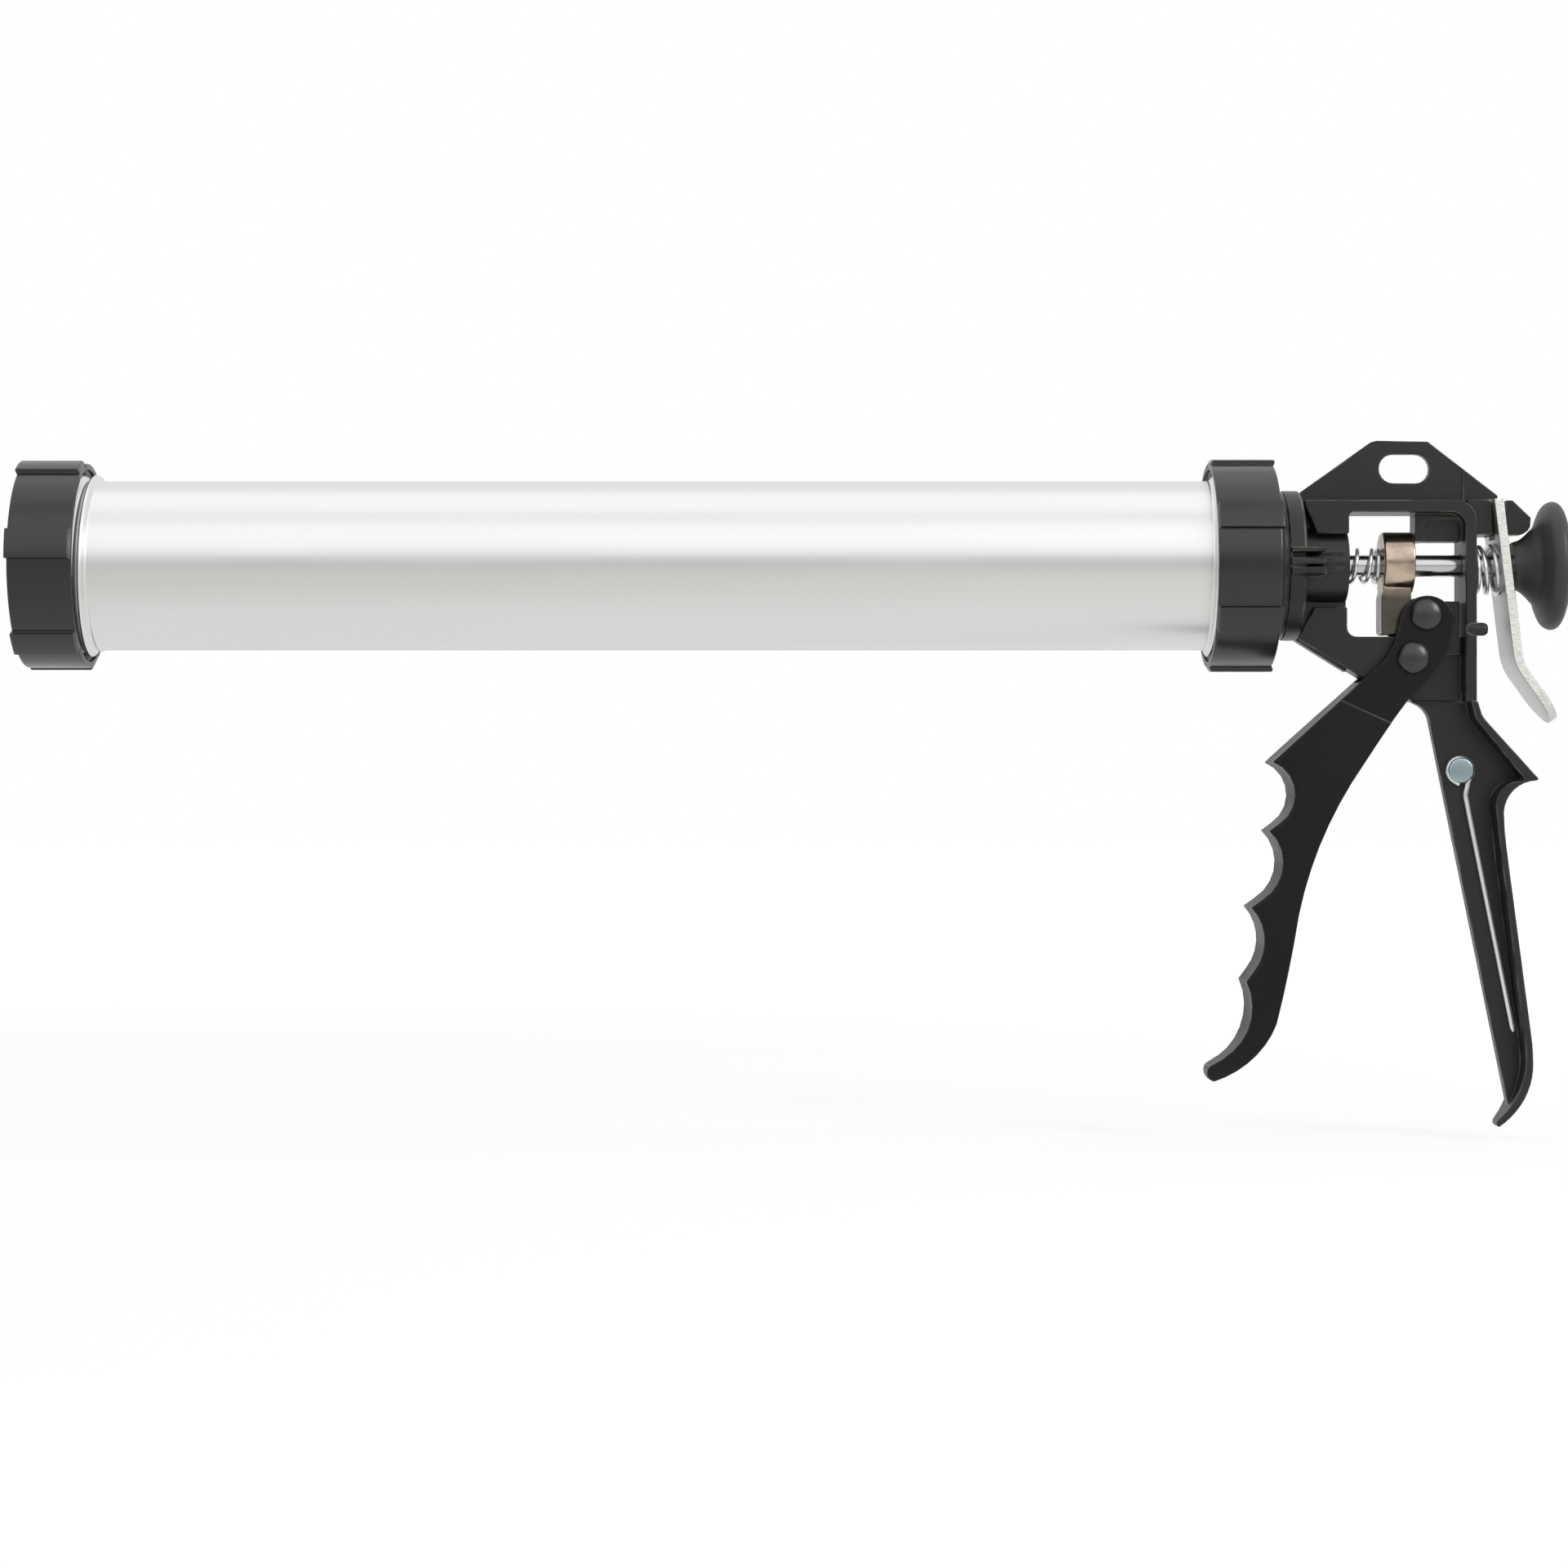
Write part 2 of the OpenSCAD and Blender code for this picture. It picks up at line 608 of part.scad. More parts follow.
module drive_block() {
    color("#8d7a66") difference() {
        union() {
            translate([0, 0, head_z])
                turned([[fx + block_x0, 0], [fx + block_x0, head_r - 0.6],
                        [fx + block_x0 + 0.6, head_r], [fx + head_x1 - 0.4, head_r],
                        [fx + head_x1, head_r - 0.4], [fx + head_x1, 0]]);
            slab(concat([[block_x1, 0], [block_x1, win_z0 + 1.6], [block_x1 - 1, win_z0 + 0.6]],
                        mid_arc([tail_x0 + 1.2, win_z0 + 0.6], [tail_x0 + 0.3, win_z0 + 1],
                                [tail_x0, win_z0 + 2], 4),
                        [[tail_x0, -10.4], [block_x0, -8.4], [block_x0, 0]]), tail_w);
        }
        rod_x(fx + block_x0 - 1, fx + head_x1 + 1, rod_r + slide_gap);
    }
}

// Return spring: it sits in the boss's pocket and bears on the block's head.
module return_spring() {
    x0 = win_x0 - spring_pocket + return_wire / 2 + 0.05;
    x1 = block_x0 - return_wire / 2 - 0.1;
    turns = 5;
    r = (return_od - return_wire) / 2;
    closed = (return_wire + 0.1) / (x1 - x0);
    color("lightsteelblue") coil([for (i = [0:turns * 18])
        let (t = i / (turns * 18), a = 360 * turns * t, s = spring_ease(t, turns, closed))
        [fx + x0 + (x1 - x0) * s, r * cos(a), r * sin(a)]], return_wire);
}

// Advance of a spring along its axis: closed end coils of share c, open ones between.
function spring_ease(t, turns, c) =
    let (k = 1 / turns)
    t < k ? c * t / k : t > 1 - k ? 1 - c * (1 - t) / k : c + (1 - 2 * c) * (t - k) / (1 - 2 * k);

// ---------------------------------------------------------------- rod, piston and knob

module piston_rod() {
    color("silver") {
        turned([[nut_x0 - 0.2, 0], [nut_x0 - 0.2, tenon_r - 0.6], [nut_x0 + 0.4, tenon_r],
                [collar_x0, tenon_r], [collar_x0, rod_r], [fx + knob_x0 + 12, rod_r],
                [fx + knob_x0 + 12, 0]]);
    }
}

// Collar pressed on the rod: the shoulder that the piston's back plate bears on.
module rod_collar() {
    color("silver") difference() {
        turned([[collar_x0 + 0.02, 0], [collar_x0 + 0.02, rod_r + 3.2],
                [collar_x0 + collar_len - 1, rod_r + 3.2],
                [collar_x0 + collar_len, rod_r + 2.2], [collar_x0 + collar_len, 0]]);
        rod_x(collar_x0 - 1, collar_x0 + collar_len + 1, rod_r);
    }
}

// Support plate of the piston with a hole for the rod's tenon.
module support_plate(x0, r) {
    difference() {
        rod_x(x0, x0 + plate_t - 0.02, r);
        rod_x(x0 - 1, x0 + plate_t + 1, tenon_r);
    }
}

module piston_front_plate() {
    color("silver") support_plate(front_plate_x0, 14);
}

module piston_back_plate() {
    color("silver") support_plate(back_plate_x0, piston_r - skirt_t - 1);
}

// Plastic cup: a web between the plates and a skirt that trails along the bore.
module piston_cup() {
    color("dimgray") difference() {
        turned([[cup_x0, 0], [cup_x0, piston_r - 4], [cup_x0 + 2, piston_r - 0.8],
                [cup_x0 + 4, piston_r], [cup_x0 + cup_len, piston_r], [cup_x0 + cup_len, 0]]);
        turned([[cup_x0 + cup_web - 0.01, 0], [cup_x0 + cup_web - 0.01, piston_r - skirt_t - 0.6],
                [cup_x0 + cup_len - 3, piston_r - skirt_t],
                [cup_x0 + cup_len + 1, piston_r - skirt_t + 1.2],
                [cup_x0 + cup_len + 1, 0]]);
        rod_x(cup_x0 - 1, cup_x0 + cup_web + 1, tenon_r);
    }
}

module piston_nut() {
    color("silver") difference() {
        translate([nut_x0, 0, 0]) rotate([0, 90, 0])
            cylinder(r = (rod_d + 4.5) / 2 / cos(30), h = nut_h - 0.02, $fn = 6);
        rod_x(nut_x0 - 1, nut_x0 + nut_h + 1, tenon_r);
    }
}

// Mushroom knob: neck, flared back and a domed face.
module push_knob() {
    rim_x = knob_x1 - 5;
    outline = concat(
        [[knob_x0, 0], [knob_x0, knob_neck_r - 0.3], [knob_x0 + 0.4, knob_neck_r]],
        mid_arc([knob_x0 + 0.8, knob_neck_r], [knob_x0 + 4.2, knob_neck_r + 1.9],
                [rim_x - 5.2, knob_r - 7.2], 7),
        mid_arc([rim_x - 5.2, knob_r - 7.2], [rim_x - 3.9, knob_r - 3.9],
                [rim_x - 2.4, knob_r - 1.1], 4),
        mid_arc([rim_x - 2.4, knob_r - 1.1], [rim_x - 1.3, knob_r - 0.3], [rim_x, knob_r], 4),
        mid_arc([rim_x, knob_r], [rim_x + 2.1, knob_r - 1.2], [rim_x + 3.5, knob_r - 5.3], 6),
        mid_arc([rim_x + 3.5, knob_r - 5.3], [rim_x + 4.6, knob_r * 0.38], [knob_x1, 0.01], 7),
        [[knob_x1, 0]]);
    color("#1b1b1c") difference() {
        turned([for (p = outline) [fx + p[0], p[1]]]);
        rod_x(fx + knob_x0 - 1, fx + knob_x0 + 12, rod_r);
    }
}

// ---------------------------------------------------------------- release lever and its spring

// Middle line of the strip at a height z on the straight part.
function lever_mid(z) = lever_x - z * tan(lever_lean);

// One face of the strip round its bend, from the straight part to the kicked arm.
function bend_arc(bend, r) =
    let (half = (lever_kick - lever_lean) / 2,
         mean = (lever_kick + lever_lean) / 2,
         o = bend + lever_bend_r / cos(half) * [cos(mean), sin(mean)])
    [for (i = [0:6]) let (a = lever_lean + (lever_kick - lever_lean) * i / 6)
        o - r * [cos(a), sin(a)]];

module release_lever() {
    hx = lever_t / 2 / cos(lever_lean);
    bend = [lever_mid(lever_bend_z), lever_bend_z];
    tip = bend + lever_arm * [sin(lever_kick), -cos(lever_kick)];
    arm_n = lever_t / 2 * [cos(lever_kick), sin(lever_kick)];
    slot_z0 = lug_z0 - 1.2;
    round_r = lever_w / 2;
    color("gainsboro") difference() {
        intersection() {
            slab(concat([[lever_mid(lever_z1) + hx, lever_z1], [lever_mid(lever_z1) - hx, lever_z1]],
                        bend_arc(bend, lever_bend_r + lever_t / 2),
                        [tip - arm_n, tip + arm_n],
                        back(bend_arc(bend, lever_bend_r - lever_t / 2))),
                 lever_w);
            // Round end of the strip, cut square to the kicked arm.
            translate([fx + bend[0], 0, bend[1]]) rotate([0, -lever_kick, 0])
                union() {
                    translate([-60, 0, -lever_arm + round_r]) rotate([0, 90, 0])
                        cylinder(r = round_r, h = 120);
                    translate([-60, -round_r, -lever_arm + round_r]) cube([120, lever_w, 120]);
                }
        }
        // Slot that the casting's tongue passes through, and the hole for the rod.
        slab([[40, slot_z0], [120, slot_z0], [120, groove_z + face_gap], [40, groove_z + face_gap]],
             lug_w + 1.2);
        translate([fx + lever_x, 0, 0]) rotate([0, -lever_lean, 0]) rotate([0, 90, 0])
            cylinder(r = lever_hole_r, h = 12, center = true);
    }
}

// Slightly conical spring between the upright and the leaning lever: it hangs on the rod.
module brake_spring() {
    x0 = up_x1 + brake_wire / 2 + 0.1;
    x1 = lever_x - lever_t / 2 - brake_wire / 2 - 0.1;
    r0 = rod_r + 3.4;
    r1 = rod_r + 4.5;
    drop = 1.3;
    turns = 3;
    // The cone's coils nest, so a closed one advances by less than its wire.
    closed = sqrt(pow(brake_wire + 0.1, 2) - pow((r1 - r0) / turns, 2)) / (x1 - x0);
    color("lightsteelblue") coil([for (i = [0:turns * 24])
        let (t = i / (turns * 24), a = 360 * turns * t + 90, s = spring_ease(t, turns, closed),
             r = r0 + (r1 - r0) * t, z = r * sin(a) - drop)
        [fx + x0 + (x1 - x0) * s - s * z * tan(lever_lean), r * cos(a), z]], brake_wire, drop);
}

// ---------------------------------------------------------------- piercing needle

module piercing_needle() {
    eye_r = rivet_shank_r + slide_gap + needle_d / 2;
    point_len = 1.2;
    color("gainsboro") translate([fx + rivet[0], needle_y, rivet[1]])
        rotate([0, -needle_lean, 0]) {
            rotate([90, 0, 0]) rotate_extrude() translate([eye_r, 0]) circle(d = needle_d, $fn = 20);
            translate([0, 0, point_len - needle_len])
                cylinder(d = needle_d, h = needle_len - point_len - eye_r);
            translate([0, 0, -needle_len]) cylinder(d1 = 0.9, d2 = needle_d, h = point_len);
        }
}

module needle_rivet() {
    head_y = needle_y - needle_d / 2 - 0.2;
    color("lightsteelblue") {
        rod_y(rivet, head_y - 1.4, head_y, rivet_d / 2);
        rod_y(rivet, head_y - e, web_t / 2 + 0.1, rivet_shank_r);
        rod_y(rivet, web_t / 2 + 0.02, web_t / 2 + 1.4, rivet_d / 2 - 1);
    }
}

barrel_tube();
front_ring();
rear_ring();
swivel_washer();
frame();
trigger();
pivot_pin();
drive_pin();
drive_bush();
drive_block();
return_spring();
piston_rod();
rod_collar();
piston_back_plate();
piston_cup();
piston_front_plate();
piston_nut();
push_knob();
release_lever();
brake_spring();
piercing_needle();
needle_rivet();
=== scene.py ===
# %% [markdown]
# # A caulking gun, surfaced for a studio picture
#
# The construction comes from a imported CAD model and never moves. This script gives every
# piece the surface of the real one: extruded aluminium, moulded plastic, powder-coated
# castings and zinc-plated steel. Most pieces are surfaces worked out with numpy. The two
# castings and four plain parts are copies of the CAD solids, with their edges rounded as
# a mould or a blanking tool leaves them.

# %% Load the fixed frame
import json
import math

import bmesh
import bpy
import numpy as np
from mathutils import Matrix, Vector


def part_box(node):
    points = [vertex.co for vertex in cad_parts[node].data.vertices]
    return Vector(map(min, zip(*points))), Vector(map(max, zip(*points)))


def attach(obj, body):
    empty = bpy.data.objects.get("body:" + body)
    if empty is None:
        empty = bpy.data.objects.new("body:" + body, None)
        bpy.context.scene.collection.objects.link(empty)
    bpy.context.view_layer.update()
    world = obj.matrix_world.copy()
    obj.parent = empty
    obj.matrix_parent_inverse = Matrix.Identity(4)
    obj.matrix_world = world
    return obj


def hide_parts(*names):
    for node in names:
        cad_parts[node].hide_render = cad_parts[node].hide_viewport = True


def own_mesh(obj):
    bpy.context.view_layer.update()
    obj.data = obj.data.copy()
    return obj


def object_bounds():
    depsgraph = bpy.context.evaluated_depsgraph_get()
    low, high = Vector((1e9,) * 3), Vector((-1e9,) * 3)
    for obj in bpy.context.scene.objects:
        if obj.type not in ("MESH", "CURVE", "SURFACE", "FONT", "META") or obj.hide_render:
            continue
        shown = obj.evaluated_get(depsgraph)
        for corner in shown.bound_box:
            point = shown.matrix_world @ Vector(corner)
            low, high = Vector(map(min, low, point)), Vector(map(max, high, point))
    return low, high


MM = 0.001
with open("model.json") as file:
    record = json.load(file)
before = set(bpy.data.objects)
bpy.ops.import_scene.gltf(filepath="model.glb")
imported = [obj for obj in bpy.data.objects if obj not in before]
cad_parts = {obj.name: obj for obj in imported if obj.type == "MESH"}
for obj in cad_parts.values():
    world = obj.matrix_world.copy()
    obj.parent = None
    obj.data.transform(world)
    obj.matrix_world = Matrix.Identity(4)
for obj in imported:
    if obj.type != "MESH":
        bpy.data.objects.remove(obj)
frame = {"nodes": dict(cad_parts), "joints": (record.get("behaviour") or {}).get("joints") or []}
cad_box = [list(corner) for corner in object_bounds()]
print("CAD box in metres:", cad_box)

# %% [markdown]
# ## Camera and light
#
# A long lens, level with the grip, sees the gun from the side with little perspective.
# The light is what a product table has: a white room, a long soft box in front, another
# overhead and a small one on the right. A lamp adds to the room behind it in a
# reflection, so the two wide boxes are weak and the room gives most of the light. In
# reflections the room is dimmer at the horizon, and darker still in a small patch in
# front of the table, as if someone stood there: that draws the dark line along every
# polished rod and keeps flat black faces black. All of it stays at a level that leaves
# colours as written.

# %% Camera
CAMERA_AT = (242.0, -1175.0, -69.7)
VIEW_WIDTH = 501.3  # what the frame shows at the gun's middle plane
SENSOR = 36

camera = bpy.data.objects.new("camera", bpy.data.cameras.new("camera"))
bpy.context.scene.collection.objects.link(camera)
camera.location = [value * MM for value in CAMERA_AT]
camera.rotation_euler = (math.radians(90), 0, 0)
camera.data.sensor_width = SENSOR
camera.data.lens = SENSOR * -CAMERA_AT[1] / VIEW_WIDTH
camera.data.clip_start = 0.01
bpy.context.scene.camera = camera
bpy.context.scene.view_settings.view_transform = "Standard"
print("lens in mm:", round(camera.data.lens, 2))


# %% One function adds a node, and one turns a written colour to linear
def linear(hex_colour):
    """Linear RGBA of an sRGB hex colour: c / 12.92 when dark, else ((c + 0.055) / 1.055)^2.4."""
    code = hex_colour.lstrip("#")
    srgb = np.array([int(code[i : i + 2], 16) for i in (0, 2, 4)]) / 255
    value = np.where(srgb <= 0.04045, srgb / 12.92, ((srgb + 0.055) / 1.055) ** 2.4)
    return (*value.tolist(), 1.0)


def add(tree, kind, inputs=None, **settings):
    """Adds one node. A socket given as an input is linked, and any other input is a value."""
    made = tree.nodes.new(kind)
    for name, value in settings.items():
        setattr(made, name, value)
    for name, value in (inputs or {}).items():
        if isinstance(value, bpy.types.NodeSocket):
            tree.links.new(value, made.inputs[name])
        else:
            made.inputs[name].default_value = value
    return made


# %% White room
AMBIENT = 0.8  # strength of the room as it lights matt surfaces
HORIZON, UPPER, UPPER_FROM = 0.6, 0.93, 0.25  # in reflections: at eye level, and from this sine up
FRONT_SHARE, FRONT_EDGE, FRONT_CORE = 0.42, -0.965, -0.999  # the dim patch in front, by cosine

world = bpy.data.worlds.new("white_room")
bpy.context.scene.world = world
world.use_nodes = True
tree = world.node_tree
tree.nodes.clear()
rays = add(tree, "ShaderNodeLightPath")
direction = add(tree, "ShaderNodeTexCoord").outputs["Generated"]
towards = add(tree, "ShaderNodeSeparateXYZ", {0: direction})
height = add(tree, "ShaderNodeMapRange",
             {"Value": towards.outputs[2], "From Min": 0.0, "From Max": UPPER_FROM,
              "To Min": HORIZON, "To Max": UPPER})
through = add(tree, "ShaderNodeMath",
              {0: rays.outputs["Is Camera Ray"], 1: rays.outputs["Is Transmission Ray"]},
              operation="MAXIMUM")
patch = add(tree, "ShaderNodeMapRange",
            {"Value": towards.outputs[1], "From Min": FRONT_CORE, "From Max": FRONT_EDGE,
             "To Min": FRONT_SHARE, "To Max": 1.0})
mirrored = add(tree, "ShaderNodeMath", {0: height.outputs[0], 1: patch.outputs[0]},
               operation="MULTIPLY")
lit = add(tree, "ShaderNodeMix", {0: through.outputs[0], 2: AMBIENT, 3: 1.0}, data_type="FLOAT")
strength = add(tree, "ShaderNodeMix",
               {0: rays.outputs["Is Glossy Ray"], 2: lit.outputs[0], 3: mirrored.outputs[0]},
               data_type="FLOAT")
room = add(tree, "ShaderNodeBackground", {"Color": (1, 1, 1, 1), "Strength": strength.outputs[0]})
add(tree, "ShaderNodeOutputWorld", {"Surface": room.outputs[0]})
print("room strength for lighting:", AMBIENT, "and at the horizon in reflections:", HORIZON)


# %% Soft lamps
def soft_lamp(name, at, towards, size, radiance):
    """Area lamp at one point in millimetres that faces another. An even area lamp seen at a
    given radiance has a power of pi times its area times that radiance."""
    data = bpy.data.lights.new(name, "AREA")
    data.shape = "RECTANGLE"
    data.size, data.size_y = size[0] * MM, size[1] * MM
    data.energy = math.pi * data.size * data.size_y * radiance
    lamp = bpy.data.objects.new(name, data)
    bpy.context.scene.collection.objects.link(lamp)
    place, aim = np.array(at) * MM, np.array(towards) * MM
    lamp.location = place
    away = (place - aim) / np.linalg.norm(place - aim)
    side = np.cross([0, 0, 1], away)
    side /= np.linalg.norm(side)
    turn = np.stack([side, np.cross(away, side), away], axis=1)
    lamp.rotation_euler = Matrix(turn.tolist()).to_euler()
    print(name, "power in watts:", round(data.energy, 2))
    return lamp


gun_middle = (240, 0, -60)
soft_lamp("front_box", (240, -1230, 830), (240, 0, 0), (2400, 1300), 0.36)
soft_lamp("overhead_box", (240, 100, 1300), gun_middle, (2000, 1000), 0.33)
soft_lamp("right_box", (1100, -500, 450), (440, 0, -10), (300, 400), 8.5)

# %% [markdown]
# ## Shapes as whole arrays
#
# A turned or moulded piece is a grid of points: one parameter runs along its profile and
# the other round its axis. A wire or a rod is a circle carried along a path. Both are
# computed as arrays and put into a mesh at once. Points that meet, at a pole or a seam,
# are merged, and then the normals are worked out again so that all faces point outwards.


# %% From arrays to a piece
def grid_faces(rows, columns, closed_rows):
    """Quads between neighbours of a grid stored row by row. The columns always close."""
    row = np.arange(rows if closed_rows else rows - 1)[:, None]
    column = np.arange(columns)[None, :]
    below, right = (row + 1) % rows, (column + 1) % columns
    quads = np.stack(np.broadcast_arrays(row * columns + column, row * columns + right,
                                         below * columns + right, below * columns + column), -1)
    return quads.reshape(-1, 4)


def new_piece(name, mesh, body, material, nodes):
    """Links a mesh as a piece that rides on a body and stands for the given CAD nodes."""
    piece = bpy.data.objects.new(name, mesh)
    bpy.context.scene.collection.objects.link(piece)
    mesh.materials.clear()
    mesh.materials.append(material)
    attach(piece, body)
    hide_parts(*nodes)
    return piece


def surface(name, points, closed_rows, crease=40):
    """Mesh of a grid of points in millimetres, merged, facing outwards, smooth up to a crease."""
    rows, columns = points.shape[:2]
    mesh = bpy.data.meshes.new(name)
    mesh.from_pydata((points.reshape(-1, 3) * MM).tolist(), [],
                     grid_faces(rows, columns, closed_rows).tolist())
    work = bmesh.new()
    work.from_mesh(mesh)
    bmesh.ops.remove_doubles(work, verts=work.verts, dist=1e-6)
    bmesh.ops.dissolve_degenerate(work, edges=work.edges, dist=1e-7)
    bmesh.ops.recalc_face_normals(work, faces=work.faces)
    work.to_mesh(mesh)
    work.free()
    mesh.shade_smooth()
    mesh.set_sharp_from_angle(angle=math.radians(crease))
    print(name, len(mesh.polygons), "faces")
    return mesh


# %% Profiles, turned shapes and carried circles
def rounded(outline, cut, steps=5):
    """Outline with every corner P cut back by its own length, to A and B on its two sides,
    and rounded by the parabola (1 - t)^2 A + 2 t (1 - t) P + t^2 B."""
    corner = np.asarray(outline, float)
    cut = np.broadcast_to(np.asarray(cut, float), len(corner))[:, None]
    before = np.roll(corner, 1, 0) - corner
    after = np.roll(corner, -1, 0) - corner
    start = corner + cut * before / np.linalg.norm(before, axis=1, keepdims=True)
    end = corner + cut * after / np.linalg.norm(after, axis=1, keepdims=True)
    t = np.linspace(0, 1, steps)[None, :, None]
    curve = (1 - t) ** 2 * start[:, None] + 2 * t * (1 - t) * corner[:, None] + t**2 * end[:, None]
    return curve.reshape(-1, 2)


def turned(outline, sides=128):
    """Surface of revolution about the barrel's axis: (x, -r cos a, r sin a)."""
    x, r = np.asarray(outline, float).T
    angle = np.linspace(0, 2 * math.pi, sides, endpoint=False)[None, :]
    x, r = x[:, None], r[:, None]
    return np.stack(np.broadcast_arrays(x, -r * np.cos(angle), r * np.sin(angle)), -1)


def carried(path, radius, side, sides=16):
    """Circle carried along a path: p + radius (cos a u + sin a v), with u near side, v = t x u.
    Two extra rings of no radius close the ends."""
    path = np.concatenate([path[:1], path, path[-1:]])
    side = np.concatenate([side[:1], side, side[-1:]])
    radius = np.broadcast_to(radius, len(path) - 2)
    radius = np.concatenate([[0], radius, [0]])
    along = np.gradient(path[1:-1], axis=0)
    along = np.concatenate([along[:1], along, along[-1:]])
    along /= np.linalg.norm(along, axis=1, keepdims=True)
    u = side - (side * along).sum(1, keepdims=True) * along
    u /= np.linalg.norm(u, axis=1, keepdims=True)
    v = np.cross(along, u)
    a = np.linspace(0, 2 * math.pi, sides, endpoint=False)[None, :, None]
    ring = np.cos(a) * u[:, None] + np.sin(a) * v[:, None]
    return path[:, None] + radius[:, None, None] * ring


def smooth_step(value, low, high):
    """0 below low, 1 above high, 3 t^2 - 2 t^3 between."""
    t = np.clip((value - low) / (high - low), 0, 1)
    return t * t * (3 - 2 * t)


# %% Where the CAD puts things, in millimetres
def span(node, axis):
    """Lowest and highest coordinate of a CAD node along an axis, in millimetres."""
    low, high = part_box(node)
    return low[axis] / MM, high[axis] / MM


tube_x0, tube_x1 = span("barrel_tube", 0)
datum = span("rear_ring", 0)[1]
joint_at = {j["name"]: np.array(j["pos_m"]) / MM for j in frame["joints"] if "pos_m" in j}
print("handle datum at", round(datum, 2), "mm, pivot at", joint_at["trigger_pull"])

# %% [markdown]
# ## Finishes
#
# Every material is named for the real one and says how its surface was made. Patterns
# read Object coordinates, which are metres here, so a scale of 1000 means one millimetre.


# %% A surface shader with its own fine relief
def finish(name, colour, roughness, metallic=0.0, **sockets):
    """Material with one Principled shader. Returns it with its node tree and shader."""
    material = bpy.data.materials.new(name)
    material.use_nodes = True
    tree = material.node_tree
    shader = tree.nodes["Principled BSDF"]
    shader.inputs["Base Color"].default_value = linear(colour)
    shader.inputs["Roughness"].default_value = roughness
    shader.inputs["Metallic"].default_value = metallic
    for socket, value in sockets.items():
        shader.inputs[socket.replace("_", " ")].default_value = value
    print("finish", name, colour)
    return material, tree, shader


def place(tree, stretch=(1, 1, 1)):
    """Object coordinates, stretched: a small number draws a pattern out along that axis."""
    at = add(tree, "ShaderNodeTexCoord")
    return add(tree, "ShaderNodeMapping", {"Vector": at.outputs["Object"], "Scale": stretch})


def noise(tree, at, size_mm, detail=3.0):
    """Noise whose lumps are about size_mm across."""
    return add(tree, "ShaderNodeTexNoise",
               {"Vector": at.outputs[0], "Scale": 1 / (size_mm * MM), "Detail": detail})


def ranged(tree, value, low, high, to_low, to_high):
    """A value's range low to high carried to to_low to to_high."""
    return add(tree, "ShaderNodeMapRange",
               {"Value": value, "From Min": low, "From Max": high, "To Min": to_low, "To Max": to_high})


def relief(tree, shader, height, depth_mm):
    """Bump of a real depth on a shader."""
    bump = add(tree, "ShaderNodeBump", {"Height": height, "Distance": depth_mm * MM})
    tree.links.new(bump.outputs[0], shader.inputs["Normal"])
    return bump


# %% [markdown]
# ### Clear anodised aluminium
#
# The barrel is drawn tube, etched and clear anodised. The etch leaves it satin, so it
# shows soft bands of light along its length. Faint die lines run from end to end, so
# their noise is drawn out along X. Real ones are too fine to show, so these are 0.4 mm
# apart, and a slow cloud 30 mm across varies the gloss as the etch does.

# %% Anodised tube
anodised, tree, shader = finish("clear_anodised_aluminium", "#e3e3e2", 0.34, 1.0)
lines = noise(tree, place(tree, (0.004, 1, 1)), 0.4, 2.0)
cloud = noise(tree, place(tree, (0.3, 1, 1)), 30, 2.0)
rough = ranged(tree, cloud.outputs[0], 0.3, 0.7, 0.31, 0.37)
tree.links.new(rough.outputs[0], shader.inputs["Roughness"])
relief(tree, shader, lines.outputs[0], 0.004)

# %% [markdown]
# ### Moulded ring nuts and knob
#
# The ring nuts are glass-filled nylon, moulded in a spark-finished cavity: nearly black,
# but glossy enough to take a grey sheen from the room. The knob is matt polypropylene,
# which looks softer because its relief is twice as deep. The piston's cup is polyethylene
# and the thrust washer plain nylon.

# %% Moulded plastics
ring_plastic, tree, shader = finish("moulded_charcoal_nylon", "#0f0f0e", 0.3, IOR=1.55,
                                    Specular_IOR_Level=0.58)
grain = noise(tree, place(tree), 0.35, 2.0)
tone = noise(tree, place(tree), 14, 3.0)
relief(tree, shader, grain.outputs[0], 0.006)
rough = ranged(tree, tone.outputs[0], 0.3, 0.7, 0.22, 0.32)
tree.links.new(rough.outputs[0], shader.inputs["Roughness"])

knob_plastic, tree, shader = finish("matt_black_polypropylene", "#2f2f2e", 0.46, IOR=1.5)
grain = noise(tree, place(tree), 0.3, 2.0)
relief(tree, shader, grain.outputs[0], 0.012)

cup_plastic, tree, shader = finish("moulded_polyethylene", "#2c2c2d", 0.45, IOR=1.52)
relief(tree, shader, noise(tree, place(tree), 0.5).outputs[0], 0.008)

washer_nylon, tree, shader = finish("natural_nylon", "#e2dccb", 0.5, IOR=1.53)
relief(tree, shader, noise(tree, place(tree), 0.5).outputs[0], 0.006)
